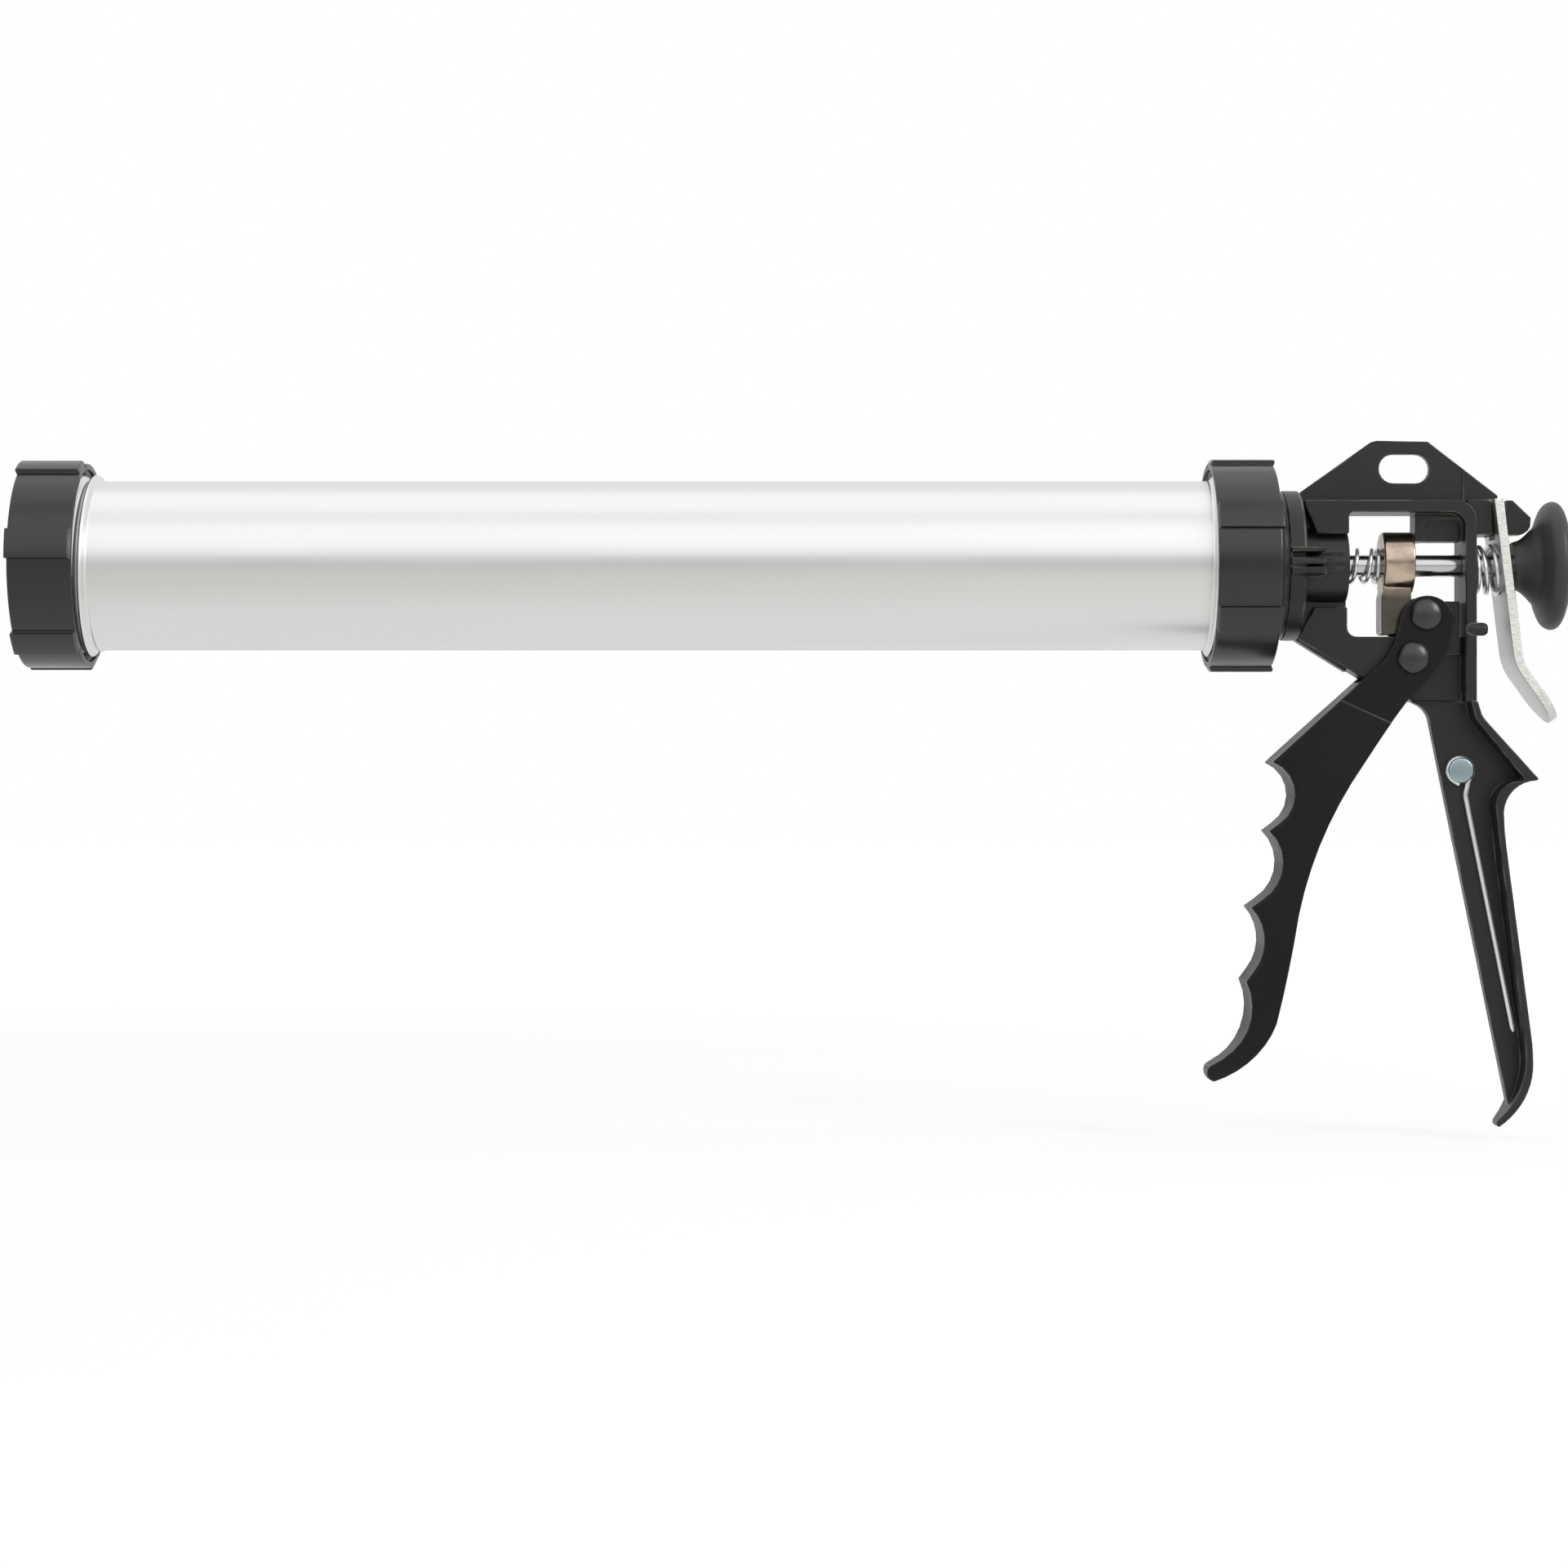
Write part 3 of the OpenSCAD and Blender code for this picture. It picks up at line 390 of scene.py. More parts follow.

# %% [markdown]
# ### Powder-coated castings
#
# The handle and the trigger are die-cast alloy under satin black powder coat. The coat
# has a fine orange peel, about 0.7 mm from crest to crest, and a finer grain on it. The
# trigger's coat is deeper and less glossy than the handle's, and each has a second
# material for its narrow edges, painted paler grey in patches: partly coat rubbed by
# handling, partly a painted highlight along the edges.

# %% Powder coat and blackened steel
def powder_coat(name, colour, roughness, wear_and_painted_highlight=None, gloss=0.32):
    """Powder coat: two sizes of relief and a slow change of gloss. wear_and_painted_highlight mixes
    a paler colour in where a noise of 9 mm is high, on edges: partly rubbed coat, partly painted
    highlight."""
    material, tree, shader = finish(name, colour, roughness, IOR=1.5, Specular_IOR_Level=gloss)
    at = place(tree)
    peel = noise(tree, at, 0.7, 1.0)
    grain = noise(tree, at, 0.22, 2.0)
    height = add(tree, "ShaderNodeMath", {0: grain.outputs[0], 1: 0.35, 2: peel.outputs[0]},
                 operation="MULTIPLY_ADD")
    relief(tree, shader, height.outputs[0], 0.012)
    slow = noise(tree, at, 22, 3.0)
    rough = ranged(tree, slow.outputs[0], 0.3, 0.7, roughness - 0.05, roughness + 0.05)
    tree.links.new(rough.outputs[0], shader.inputs["Roughness"])
    if wear_and_painted_highlight:
        # Partly wear, partly painted highlight: the edge colour turns paler grey in noise patches.
        patches = ranged(tree, noise(tree, at, 9, 5.0).outputs[0], 0.4, 0.65, 0, 1)
        shades = add(tree, "ShaderNodeMix", {0: patches.outputs[0], 6: linear(colour), 7: linear(wear_and_painted_highlight)},
                     data_type="RGBA")
        tree.links.new(shades.outputs[2], shader.inputs["Base Color"])
    return material


black_coat = powder_coat("satin_black_powder_coat", "#191918", 0.38, gloss=0.45)
deep_coat = powder_coat("deep_black_powder_coat", "#0e0e0e", 0.4, gloss=0.22)
# Edge coats: paler grey in patches, partly rubbed coat and partly a painted highlight on the narrow
# edges.
edge_wear_and_painted_highlight = powder_coat("edge_wear_and_painted_highlight_coat", "#191918", 0.32, "#55544f")
deep_edge_wear_and_painted_highlight = powder_coat("deep_edge_wear_and_painted_highlight_coat", "#111111", 0.36, "#302f2d")
black_steel, tree, shader = finish("blackened_steel", "#101011", 0.33, IOR=1.5, Specular_IOR_Level=0.8)
relief(tree, shader, noise(tree, place(tree), 0.4).outputs[0], 0.006)


# %% [markdown]
# ### Zinc and bronze
#
# The rod, the lever and the springs are steel with bright zinc plating: a cool grey metal
# whose gloss is cloudy where the plating grew unevenly. Springs are plated while
# they tumble in a drum, which leaves them whiter, so a quarter of their light is
# scattered as by paint. The drive block has a bronze coloured chromate over its zinc, and
# its tail is painted darker towards the bottom, a painted shade where it is set back.


# %% Plated steels
def plated(name, colour, roughness, stretch, depth_mm, metallic=1.0):
    """Plated metal with drawing or rolling marks along the direction that stretch makes long.
    Real marks are too fine to show, so these are a quarter of a millimetre apart."""
    material, tree, shader = finish(name, colour, roughness, metallic)
    marks = noise(tree, place(tree, stretch), 0.25, 2.0)
    cloud = noise(tree, place(tree), 5, 3.0)
    rough = ranged(tree, cloud.outputs[0], 0.3, 0.7, roughness - 0.06, roughness + 0.08)
    tree.links.new(rough.outputs[0], shader.inputs["Roughness"])
    relief(tree, shader, marks.outputs[0], depth_mm)
    return material, tree, shader


zinc_rod = plated("zinc_plated_rod", "#c6c7c6", 0.17, (0.01, 1, 1), 0.004)[0]
zinc_parts = plated("zinc_plated_parts", "#bcc0c4", 0.3, (1, 1, 1), 0.005)[0]
zinc_wire = plated("zinc_plated_wire", "#e6e8e8", 0.15, (1, 1, 1), 0.003, 0.75)[0]
blue_zinc = plated("blue_zinc_rivet", "#9dafb3", 0.28, (1, 1, 1), 0.004)[0]

SHADED_BELOW, SHADE_FADES_FROM = -0.0105, -0.0075  # heights in metres between which the painted shade on the tail fades out
bronze, tree, shader = plated("bronze_chromate", "#a08a75", 0.2, (1, 1, 0.05), 0.006)
tint = noise(tree, place(tree), 6, 3.0)
shades = add(tree, "ShaderNodeMix",
             {0: ranged(tree, tint.outputs[0], 0.35, 0.65, 0, 1).outputs[0],
              6: linear("#a39588"), 7: linear("#c8b6a3")}, data_type="RGBA")
# Painted shade: below these heights the tail's colour is darkened to stand in for the shade where it is
# set back.
below = add(tree, "ShaderNodeSeparateXYZ", {0: place(tree).outputs[0]})
painted_shade = ranged(tree, below.outputs[2], SHADED_BELOW, SHADE_FADES_FROM, 1, 0)
darker = add(tree, "ShaderNodeMix", {0: painted_shade.outputs[0], 6: shades.outputs[2], 7: linear("#68625a")},
             data_type="RGBA")
tree.links.new(darker.outputs[2], shader.inputs["Base Color"])

# %% [markdown]
# The release lever is a strip blanked from sheet and then plated. Its faces are rolled
# smooth, and its cut edges show shear lines across the thickness, about 0.35 mm apart.
# Their noise is drawn out along X and Y, and it is read only where the surface faces
# sideways, which is where the blanking tool cut. There the colour is also paler, as a
# painted highlight along the cut edges.

# %% Blanked strip
# Painted highlight: the cut faces' colours are paler than the rolled face.
ROLLED_FACE, CUT_LINE_AND_HIGHLIGHT, CUT_DARK = "#cfd1d0", "#eaeae6", "#cfcfc9"
strip, tree, shader = plated("zinc_plated_strip", ROLLED_FACE, 0.42, (1, 1, 1), 0.004)
shear = noise(tree, place(tree, (0.15, 0.15, 1)), 0.35, 4.0)
flat_normal = add(tree, "ShaderNodeNewGeometry").outputs["True Normal"]
facing = add(tree, "ShaderNodeSeparateXYZ", {0: flat_normal})
sideways = add(tree, "ShaderNodeMath", {0: facing.outputs[1]}, operation="ABSOLUTE")
cut_face = ranged(tree, sideways.outputs[0], 0.7, 0.9, 0, 1)
height = add(tree, "ShaderNodeMath", {0: shear.outputs[0], 1: cut_face.outputs[0]}, operation="MULTIPLY")
relief(tree, shader, height.outputs[0], 0.1)
cut_rough = ranged(tree, cut_face.outputs[0], 0, 1, 0.4, 0.5)
tree.links.new(cut_rough.outputs[0], shader.inputs["Roughness"])
lines = add(tree, "ShaderNodeMix", {0: ranged(tree, shear.outputs[0], 0.38, 0.62, 0, 1).outputs[0],
                                    6: linear(CUT_DARK), 7: linear(CUT_LINE_AND_HIGHLIGHT)}, data_type="RGBA")
cut_painted_highlight = add(tree, "ShaderNodeMix",
              {0: cut_face.outputs[0], 6: linear(ROLLED_FACE), 7: lines.outputs[2]},
              data_type="RGBA")
tree.links.new(cut_painted_highlight.outputs[2], shader.inputs["Base Color"])

# %% [markdown]
# ## Barrel
#
# The tube is one closed profile turned about X. Its thread is rolled into the wall: a
# cosine ridge that advances one pitch a turn, which fades out where the rolls lift off.

# %% Barrel tube
BARREL_R, BARREL_WALL = 27.0, 1.2
THREAD_RISE, THREAD_PITCH, THREAD_START = 2.0, 4.4, 0.18
FRONT_THREAD, REAR_THREAD = 20.2, 12.6


def threaded_tube():
    """Tube of outer radius R + rise (1 + cos 2 pi (x / pitch - a / 2 pi)) / 2 near its ends."""
    end_run = np.linspace(0, FRONT_THREAD + 3, 110)
    middle_run = np.linspace(tube_x0 + FRONT_THREAD + 5, tube_x1 - FRONT_THREAD - 5, 60)
    outer = np.concatenate([tube_x0 + 0.2 + end_run, middle_run, tube_x1 - 0.2 - end_run[::-1]])
    inner = np.linspace(tube_x1 - 0.2, tube_x0 + 0.2, 40)
    lip = [[tube_x1, BARREL_R - 0.3], [tube_x1, BARREL_R - BARREL_WALL + 0.3]]
    front_lip = [[tube_x0, BARREL_R - BARREL_WALL + 0.3], [tube_x0, BARREL_R - 0.3]]
    profile = np.concatenate([np.stack([outer, np.full_like(outer, BARREL_R)], 1), lip,
                              np.stack([inner, np.full_like(inner, BARREL_R - BARREL_WALL)], 1),
                              front_lip])
    angle = np.linspace(0, 2 * math.pi, 180, endpoint=False)[None, :]
    x, r = profile[:, :1], profile[:, 1:]
    from_end = np.minimum(x - tube_x0, tube_x1 - x)
    phase = (x - tube_x0) / THREAD_PITCH - angle / (2 * math.pi) - THREAD_START
    run = np.where(x - tube_x0 < tube_x1 - x, FRONT_THREAD, REAR_THREAD)
    fade = smooth_step(from_end, 0.8, 3.0) * (1 - smooth_step(from_end - run, -0.3, 0.8))
    ridge = THREAD_RISE * (0.5 + 0.5 * np.cos(2 * math.pi * phase)) * fade
    r = r + np.where(profile[:, 1:] >= BARREL_R, ridge, 0)
    return np.stack(np.broadcast_arrays(x, -r * np.cos(angle), r * np.sin(angle)), -1)


new_piece("barrel", surface("barrel", threaded_tube(), True), "barrel",
          anodised, ["barrel_tube"])

# %% [markdown]
# ## Ring nuts
#
# Both nuts are the same moulding: a band with a closed end and six flat ribs for the
# hand. The ribs are part of the skin, so they are added to the radius of the turned
# profile as a function of the angle, and pushed a little past the closed end.

# %% Ring nuts
RING_LEN, RING_END, RING_R, RING_WALL = 20.2, 3.2, 32.6, 3.336
MOUTH_STEP, MOUTH_LEN, MOUTH_CONE = 1.4, 1.2, 3  # the open end is wider, to start on the thread
RIB_ANGLE, RIB_RISE, RIB_SHIFT, RIB_COUNT = 16.5, 1.3, 0.8, 6
CORNER_STEPS = 7


def rib_mask(angle, first):
    """1 on a rib and 0 between ribs, with flanks 0.7 degrees wide. Angles in degrees."""
    apart = 360 / RIB_COUNT
    off = np.abs((angle - first + apart / 2) % apart - apart / 2)
    return 1 - smooth_step(off, RIB_ANGLE / 2 - 0.35, RIB_ANGLE / 2 + 0.35)


def ring_nut(end_bore, first_rib):
    """Turned profile with r + rise m(a) w and x - shift m(a) w, where w is 1 on the outer skin."""
    inner = RING_R - RING_WALL
    mouth = inner + MOUTH_STEP
    outline = [[0, end_bore], [0, RING_R], [RING_LEN, RING_R], [RING_LEN, mouth],
               [RING_LEN - MOUTH_LEN, mouth], [RING_LEN - MOUTH_CONE, inner],
               [RING_END, inner], [RING_END, end_bore]]
    profile = rounded(outline, [0.3, 1.1, 0.6, 0.3, 0.2, 0.5, 0.5, 0.3], CORNER_STEPS)
    long_run = np.linspace(2, RING_LEN - 2, 9)
    skin = np.stack([long_run, np.full_like(long_run, RING_R)], 1)
    skin_from = 2 * CORNER_STEPS
    profile = np.concatenate([profile[:skin_from], skin, profile[skin_from:]])
    rib_angles = first_rib + np.arange(RIB_COUNT)[:, None] * 360 / RIB_COUNT
    edges = rib_angles + np.array([-1, 1]) * RIB_ANGLE / 2
    fine = (edges.reshape(-1, 1) + np.linspace(-0.7, 0.7, 11)).ravel() % 360
    angle = np.unique(np.round(np.concatenate([np.arange(0, 360, 2.0), fine]), 3))[None, :]
    x, r = profile[:, :1], profile[:, 1:]
    skin_weight = smooth_step(r, RING_R - 0.9, RING_R - 0.2)
    mask = rib_mask(angle, first_rib) * skin_weight
    x = x - RIB_SHIFT * mask
    r = r + RIB_RISE * mask
    a = np.radians(angle)
    return np.stack(np.broadcast_arrays(x, -r * np.cos(a), r * np.sin(a)), -1)


FRONT_BORE, FRONT_RIB = 18.0, 9.0
REAR_BORE, REAR_RIB = 24.2, 26.0
front = ring_nut(FRONT_BORE, FRONT_RIB)
new_piece("front_ring_nut", surface("front_ring_nut", front, True, 50), "front_nut",
          ring_plastic, ["front_ring"])
rear = ring_nut(REAR_BORE, REAR_RIB)
rear[..., 0] = datum - rear[..., 0]
new_piece("rear_ring_nut", surface("rear_ring_nut", rear, True, 50), "barrel",
          ring_plastic, ["rear_ring"])

# %% [markdown]
# ## Rod, piston and knob
#
# These are turned parts, so each is its outline, with its corners rounded by the small
# radius that its own making leaves: crisp on steel, softer on moulded plastic.


# %% Turned pieces
def turned_piece(name, outline, cut, body, material, nodes, closed, crease=40):
    """Piece turned from an outline whose corners are cut back and rounded."""
    points = turned(rounded(outline, cut) if closed else open_rounded(outline, cut))
    return new_piece(name, surface(name, points, closed, crease), body, material, nodes)


def open_rounded(outline, cut):
    """The same for an outline that starts and ends on the axis: its two ends stay sharp."""
    outline = np.asarray(outline, float)
    soft = rounded(outline, cut).reshape(len(outline), -1, 2)
    return np.concatenate([outline[:1], soft[1:-1].reshape(-1, 2), outline[-1:]])


# %% Rod, collar, piston and washer
rod_x0, rod_x1 = span("piston_rod", 0)
ROD_R, TENON_R, COLLAR_R = 3.5, 2.9, 6.7
shoulder = span("rod_collar", 0)[0]
turned_piece("rod", [[rod_x0, 0], [rod_x0, TENON_R], [shoulder, TENON_R], [shoulder, ROD_R],
                     [rod_x1, ROD_R], [rod_x1, 0]],
             [0, 0.5, 0.1, 0.2, 0.2, 0], "rod", zinc_rod, ["piston_rod"], False)

collar_x0, collar_x1 = span("rod_collar", 0)
turned_piece("collar", [[collar_x0, ROD_R], [collar_x0, COLLAR_R], [collar_x1, COLLAR_R],
                        [collar_x1, ROD_R]],
             [0.1, 0.4, 0.9, 0.1], "rod", zinc_parts, ["rod_collar"], True)

for node in ("piston_front_plate", "piston_back_plate"):
    plate_x0, plate_x1 = span(node, 0)
    plate_r = span(node, 2)[1]
    turned_piece(node.replace("piston_", "") + "_disc",
                 [[plate_x0, TENON_R], [plate_x0, plate_r], [plate_x1, plate_r], [plate_x1, TENON_R]],
                 [0.1, 0.3, 0.3, 0.1], "rod", zinc_parts, [node], True)

cup_x0, cup_x1 = span("piston_cup", 0)
cup_r = span("piston_cup", 2)[1]
turned_piece("piston_cup_seal",
             [[cup_x0, TENON_R], [cup_x0, cup_r - 4], [cup_x0 + 2, cup_r - 0.8], [cup_x0 + 4, cup_r],
              [cup_x1, cup_r], [cup_x1, cup_r - 1.2], [cup_x1 - 3, cup_r - 2.2],
              [cup_x0 + 5, cup_r - 2.8], [cup_x0 + 5, TENON_R]],
             [0.1, 0.8, 0.6, 0.8, 0.3, 0.2, 0.8, 0.4, 0.1], "rod", cup_plastic,
             ["piston_cup"], True)

washer_x0, washer_x1 = span("swivel_washer", 0)
washer_r = span("swivel_washer", 2)[1]
turned_piece("thrust_washer",
             [[washer_x0, REAR_BORE], [washer_x0, washer_r], [washer_x1, washer_r],
              [washer_x1, REAR_BORE]],
             0.2, "handle", washer_nylon, ["swivel_washer"], True)

# %% [markdown]
# The knob is a mushroom: a neck that flares into a wide, shallow face. Its outline is one
# smooth curve through a few given points, a Catmull-Rom spline.


# %% Push knob
def curve_through(points, steps=8):
    """Catmull-Rom spline: between b and c, with neighbours a and d, it is
    0.5 (2b + (c - a) t + (2a - 5b + 4c - d) t^2 + (3b - a - 3c + d) t^3)."""
    p = np.asarray(points, float)
    p = np.concatenate([2 * p[:1] - p[1:2], p, 2 * p[-1:] - p[-2:-1]])
    a, b, c, d = (p[i : len(p) - 3 + i, None] for i in range(4))
    t = np.linspace(0, 1, steps, endpoint=False)[None, :, None]
    curve = 0.5 * (2 * b + (c - a) * t + (2 * a - 5 * b + 4 * c - d) * t**2
                   + (3 * b - a - 3 * c + d) * t**3)
    return np.concatenate([curve.reshape(-1, p.shape[1]), p[-2:-1]])


knob_x0, knob_x1 = span("push_knob", 0)
knob_r = span("push_knob", 2)[1]
rim_x = knob_x1 - 5.0
flare = curve_through([[knob_x0 + 0.6, 7.6], [knob_x0 + 2.4, 8.2], [knob_x0 + 4.2, 9.5],
                       [knob_x0 + 6.1, 11.4], [rim_x - 5.2, knob_r - 7.2], [rim_x - 3.9, knob_r - 3.9],
                       [rim_x - 2.4, knob_r - 1.1], [rim_x, knob_r - 0.02], [rim_x + 2.1, knob_r - 1.2],
                       [rim_x + 3.5, knob_r - 5.3], [rim_x + 4.5, knob_r * 0.38], [knob_x1, 0]])
knob_outline = np.concatenate([[[knob_x0 + 0.4, 0], [knob_x0, ROD_R + 0.2], [knob_x0, 7.3]], flare])
new_piece("push_knob_face", surface("push_knob_face", turned(knob_outline, 160), False, 50), "rod",
          knob_plastic, ["push_knob"])

# %% [markdown]
# ## Pins and rivets
#
# A domed pin is turned about its own axis, across the gun, so its outline of (height,
# radius) pairs is turned and then laid along Y.


# %% Domed pins
def across(outline, centre, sides=64):
    """Surface of revolution about a line along Y through a point: (cx + r cos a, y, cz + r sin a)."""
    y, r = np.asarray(outline, float).T
    angle = np.linspace(0, 2 * math.pi, sides, endpoint=False)[None, :]
    y, r = y[:, None], r[:, None]
    x, z = centre[0] + r * np.cos(angle), centre[1] + r * np.sin(angle)
    return np.stack(np.broadcast_arrays(x, y, z), -1)


def dome(base, height, radius, steps=14):
    """Outline of a dome from its rim to its top: a quarter ellipse."""
    t = np.linspace(0, math.pi / 2, steps)
    return np.stack([base + height * np.sin(t), radius * np.cos(t)], 1)


DOME_RISE, SHANK_R = 2.6, 3.0
for node, body in (("pivot_pin", "handle"), ("drive_pin", "trigger")):
    low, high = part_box(node)
    centre = [(low[0] + high[0]) / 2 / MM, (low[2] + high[2]) / 2 / MM]
    head_r = (high[0] - low[0]) / 2 / MM
    cheek_y = high[1] / MM - DOME_RISE
    right = dome(cheek_y, DOME_RISE, head_r)
    shank = [[-cheek_y, SHANK_R], [cheek_y, SHANK_R]]
    outline = np.concatenate([-right[::-1] * [1, -1], shank, right])
    points = across(outline, centre)
    new_piece(node + "_domed", surface(node + "_domed", points, False), body,
              black_steel, [node])

# %% The needle's rivet
needle_pin = joint_at["needle_swing"][[0, 2]]
low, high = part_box("needle_rivet")
near, far = low[1] / MM, high[1] / MM
outline = np.concatenate([[[near, 0]], [[near + 0.02, 3.2], [near + 0.12, 3.7], [near + 0.4, 4.02],
                                        [near + 0.8, 4.1], [near + 1.4, 4.0], [near + 1.4, 2.4],
                                        [far - 1.3, 2.4], [far - 1.3, 2.9], [far - 0.6, 3.1],
                                        [far - 0.1, 2.4], [far, 0]]])
new_piece("needle_pin", surface("needle_pin", across(outline, needle_pin), False), "handle",
          blue_zinc, ["needle_rivet"])

# %% [markdown]
# ## Springs and needle
#
# A spring is a round wire on a helix whose end coils lie close together. The two are
# wound in opposite hands, and the one at the lever widens a little and leans with it.
# The needle is one wire: from its cut end it makes an eye round the rivet, and
# then it runs down to a blunt point.


# %% A helix with closed ends
def coil(x0, x1, r0, r1, wire, turns, start=0.0, lean=0.0, drop=0.0, hand=1, sides=14):
    """Wire on a helix about a line drop below X. The radius goes r0 to r1. The end coils close,
    so that neighbours there lie COIL_GAP apart, and x leans back with height where it ends. A
    hand of -1 winds it the other way."""
    t = np.linspace(0, 1, int(turns * 64))
    k = 1 / turns
    closed = math.sqrt((wire + COIL_GAP) ** 2 - ((r1 - r0) * k) ** 2) / (x1 - x0)
    ease = np.where(t < k, closed * t / k,
                    np.where(t > 1 - k, 1 - closed * (1 - t) / k,
                             closed + (1 - 2 * closed) * (t - k) / (1 - 2 * k)))
    angle = 2 * math.pi * turns * t + math.radians(start)
    r = r0 + (r1 - r0) * t
    y, z = r * np.cos(angle), hand * r * np.sin(angle) - drop
    path = np.stack([x0 + (x1 - x0) * ease - ease * z * math.tan(math.radians(lean)), y, z], 1)
    outwards = np.stack([np.zeros_like(y), y, z + drop], 1)
    return carried(path, wire / 2, outwards, sides)


# %% The return spring and the brake spring
RETURN_WIRE, RETURN_TURNS, RETURN_START = 1.3, 4.92, -7
BRAKE_WIRE, BRAKE_TURNS, BRAKE_START, BRAKE_LEAN, BRAKE_DROP = 1.4, 3, 90, 7, 1.3
LEVER_X, HALF_LEVER = 74.25, 1.5  # the lever's middle behind the datum, on the rod's axis
COIL_GAP = 0.1

low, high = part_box("return_spring")
radius = (high[2] - low[2]) / 2 / MM - RETURN_WIRE / 2
points = coil(low[0] / MM + RETURN_WIRE / 2, high[0] / MM - RETURN_WIRE / 2, radius, radius,
              RETURN_WIRE, RETURN_TURNS, RETURN_START, hand=-1)
return_coil = new_piece("return_coil", surface("return_coil", points, False, 60), "handle",
                        zinc_wire, ["return_spring"])
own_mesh(return_coil)

lever_face_x = datum + LEVER_X - HALF_LEVER
points = coil(span("brake_spring", 0)[0] + BRAKE_WIRE / 2,
              lever_face_x - BRAKE_WIRE / 2 - COIL_GAP, ROD_R + 3.4, ROD_R + 4.5,
              BRAKE_WIRE, BRAKE_TURNS, BRAKE_START, BRAKE_LEAN, BRAKE_DROP)
brake_coil = new_piece("brake_coil", surface("brake_coil", points, False, 60), "handle",
                       zinc_wire, ["brake_spring"])
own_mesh(brake_coil)


# %% Piercing needle
NEEDLE_D, NEEDLE_LEN, NEEDLE_LEAN = 1.8, 85.0, 11.5
EYE_R, EYE_OFFSET, POINT_LEN = 3.8, 1.6, 1.2
needle_y = joint_at["needle_swing"][1]


def needle_wire():
    """Path in its own plane: straight to the eye from the cut end, e (cos a, sin a) round it,
    then down along a smooth step of EYE_OFFSET to the point."""
    turn = np.radians(np.linspace(225, -48, 70))
    loop = EYE_R * np.stack([np.cos(turn), np.sin(turn)], 1)
    cut_end = loop[:1] + np.linspace(2.2, 0.2, 8)[:, None] * np.array([[0.707, -0.707]])
    drop = np.linspace(-EYE_R - 0.7, -NEEDLE_LEN, 160)
    shank = np.stack([EYE_OFFSET * (1 - smooth_step(-drop, EYE_R, EYE_R + 5)), drop], 1)
    flat = np.concatenate([cut_end, loop, shank])
    to_point = flat[:, 1] + NEEDLE_LEN
    radius = NEEDLE_D / 2 * np.clip(0.5 + 0.5 * to_point / POINT_LEN, 0.5, 1)
    lean = math.radians(NEEDLE_LEAN)
    x = needle_pin[0] + flat[:, 0] * math.cos(lean) - flat[:, 1] * math.sin(lean)
    z = needle_pin[1] + flat[:, 0] * math.sin(lean) + flat[:, 1] * math.cos(lean)
    path = np.stack([x, np.full_like(x, needle_y), z], 1)
    return carried(path, radius, np.tile([0.0, 1.0, 0.0], (len(path), 1)), 14)


new_piece("needle_wire", surface("needle_wire", needle_wire(), False, 60), "needle",
          zinc_wire, ["piercing_needle"])

# %% [markdown]
# ## Castings, block, bush, nut and lever
#
# These shapes are right in the CAD, but their edges are sharp, and a real casting or
# blanked strip has none that are. Each is a copy of its CAD solid: the loose triangles are
# merged, flat areas joined, and a bevel rounds every real edge. The edges round the
# fingers are fuller, so they are marked in a layer of their own and get a wider bevel
# first. One width for all would either make the fine edges vanish or leave these sharp.
# Last, normals weighted by face area keep the flat faces looking flat up to the bevels.


# %% Copies with rounded edges
MERGE_MM = 0.1  # points of the loose triangles closer than this are one
FLAT_ANGLE, CREASE, FOLD, NARROW = 0.8, 28, 150, 24  # degrees
LOW_RIDGE = 1.9  # bevel widths: two bevels don't fit on a wall lower than this


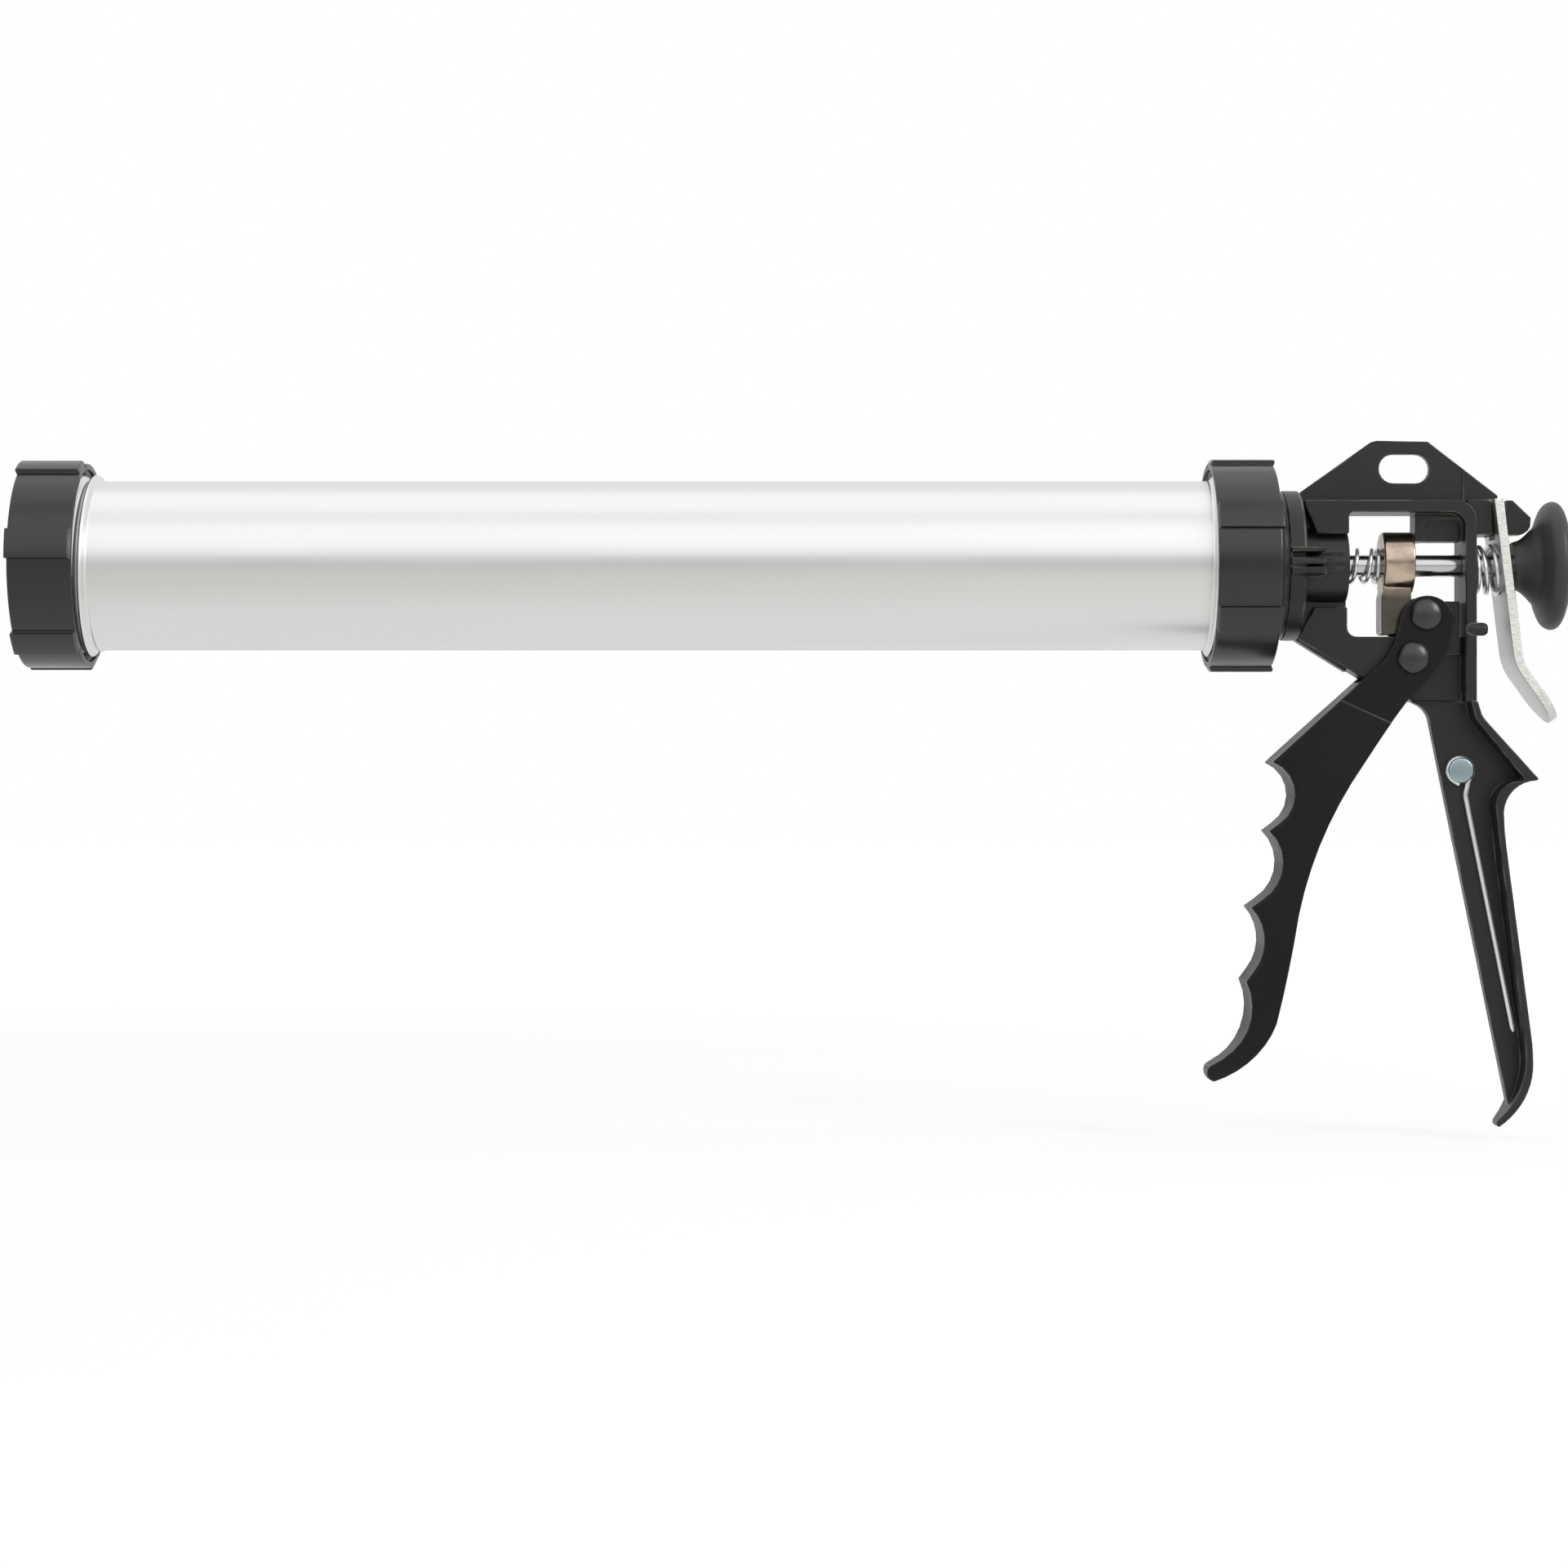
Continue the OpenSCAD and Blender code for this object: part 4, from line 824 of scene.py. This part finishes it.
def softened(name, node, body, materials, width, full=None, full_width=0.0):
    """Copy of a CAD node with its real edges bevelled by width. Edges for which full(middle) is
    true get full_width instead. A second material, if there is one, goes on the fine bevels.
    Edges that fold back, or meet in a narrow corner, stay as they are: a bevel would spike.
    So does the foot of a low ridge."""
    mesh = frame["nodes"][node].data.copy()
    mesh.name = name
    work = bmesh.new()
    work.from_mesh(mesh)
    bmesh.ops.remove_doubles(work, verts=work.verts, dist=MERGE_MM * MM)
    bmesh.ops.dissolve_limit(work, angle_limit=math.radians(FLAT_ANGLE), verts=work.verts,
                             edges=work.edges)
    fine = work.edges.layers.float.new("fine_edges")
    wide = work.edges.layers.float.new("wide_edges")
    sharp = {edge for edge in work.edges if edge.is_manifold
             and math.radians(CREASE) < edge.calc_face_angle(0) < math.radians(FOLD)}
    tight = set()
    for face in work.faces:
        for corner in face.loops:
            if corner.calc_angle() < math.radians(NARROW):
                tight |= {corner.edge, corner.link_loop_prev.edge}
        longest = max(edge.calc_length() for edge in face.edges)
        if sharp.issuperset(face.edges) and face.calc_area() < LOW_RIDGE * width * MM * longest:
            tight |= {edge for edge in face.edges if not edge.is_convex}
    sharp -= tight
    for edge in sharp:
        middle_point = (edge.verts[0].co + edge.verts[1].co) / 2 / MM
        edge[wide if full and full(middle_point) else fine] = 1.0
    for edge in work.edges:
        edge.smooth = edge in sharp or edge.calc_face_angle(0) < math.radians(CREASE)
    work.to_mesh(mesh)
    work.free()
    mesh.shade_smooth()
    piece = new_piece(name, mesh, body, materials[0], [node])
    passes = [("wide_edges", full_width, 6, -1)] if full else []
    passes.append(("fine_edges", width, 3, len(materials) - 1))
    for layer_name, offset, segments, slot_index in passes:
        bevel = piece.modifiers.new(layer_name, "BEVEL")
        bevel.width = offset * MM
        bevel.segments = segments
        bevel.limit_method = "WEIGHT"
        bevel.edge_weight = layer_name
        bevel.use_clamp_overlap = False
        bevel.material = slot_index
    piece.modifiers.new("flat_faces_stay_flat", "WEIGHTED_NORMAL").keep_sharp = True
    for extra in materials[1:]:
        mesh.materials.append(extra)
    print(name, len(mesh.polygons), "faces before the bevel")
    return piece


# %% Castings, drive block, bush, nut and lever
def finger_edge(at):
    """Edges on the trigger's finger side: in front of a line down the middle of the grip."""
    return abs(at.y) > 8 and -160 < at.z < -58 and at.x - datum < 15 + 0.24 * (at.z + 62)


softened("handle_casting", "frame", "handle", [black_coat, edge_wear_and_painted_highlight],
         0.35)
softened("trigger_casting", "trigger", "trigger", [deep_coat, deep_edge_wear_and_painted_highlight], 0.35,
         finger_edge, 1.3)
softened("clutch_block", "drive_block", "drive_block", [bronze], 0.4)
softened("pin_bush", "drive_bush", "trigger", [zinc_parts], 0.2)
softened("rod_nut", "piston_nut", "rod", [zinc_parts], 0.3)
softened("lever_strip", "release_lever", "release_lever", [strip], 0.35)

# %% [markdown]
# ## Floor
#
# A plain pale floor takes the object's soft shadow. Seen by the camera it is lifted to
# the white of the room, more and more with distance, so that no edge shows where it
# ends. In reflections it is lifted just in front of the gun and behind it, where the
# gun's own shadow would otherwise grey the underside of the barrel.

# %% Floor
FLOOR_GAP = 4  # mm below the grip
floor_z = cad_box[0][2] - FLOOR_GAP * MM
print("floor at", round(floor_z / MM, 1), "mm")
mesh = bpy.data.meshes.new("floor")
corners = [(-6, -6, floor_z), (6, -6, floor_z), (6, 6, floor_z), (-6, 6, floor_z)]
mesh.from_pydata(corners, [], [(0, 1, 2, 3)])
floor = bpy.data.objects.new("floor", mesh)
bpy.context.scene.collection.objects.link(floor)
pale = bpy.data.materials.new("pale_table")
pale.use_nodes = True
tree = pale.node_tree
tree.nodes.clear()
paint = add(tree, "ShaderNodeBsdfDiffuse", {"Color": linear("#dededc")})
glow = add(tree, "ShaderNodeEmission", {"Color": (1, 1, 1, 1), "Strength": 1.1})
rays = add(tree, "ShaderNodeLightPath")
where = add(tree, "ShaderNodeTexCoord").outputs["Object"]
away = add(tree, "ShaderNodeVectorMath", {0: where}, operation="LENGTH")
spread = ranged(tree, away.outputs["Value"], 0.5, 1.4, 0.7, 1.0)
seen = add(tree, "ShaderNodeMath", {0: rays.outputs["Is Camera Ray"], 1: spread.outputs[0]},
           operation="MULTIPLY")
across_floor = add(tree, "ShaderNodeSeparateXYZ", {0: where})
near = ranged(tree, across_floor.outputs[1], -0.3, -0.05, 0.0, 0.5)
lift = add(tree, "ShaderNodeMath",
           {0: rays.outputs["Is Glossy Ray"], 1: near.outputs[0], 2: seen.outputs[0]},
           operation="MULTIPLY_ADD")
mixed = add(tree, "ShaderNodeMixShader", {0: lift.outputs[0], 1: paint.outputs[0], 2: glow.outputs[0]})
add(tree, "ShaderNodeOutputMaterial", {"Surface": mixed.outputs[0]})
mesh.materials.append(pale)
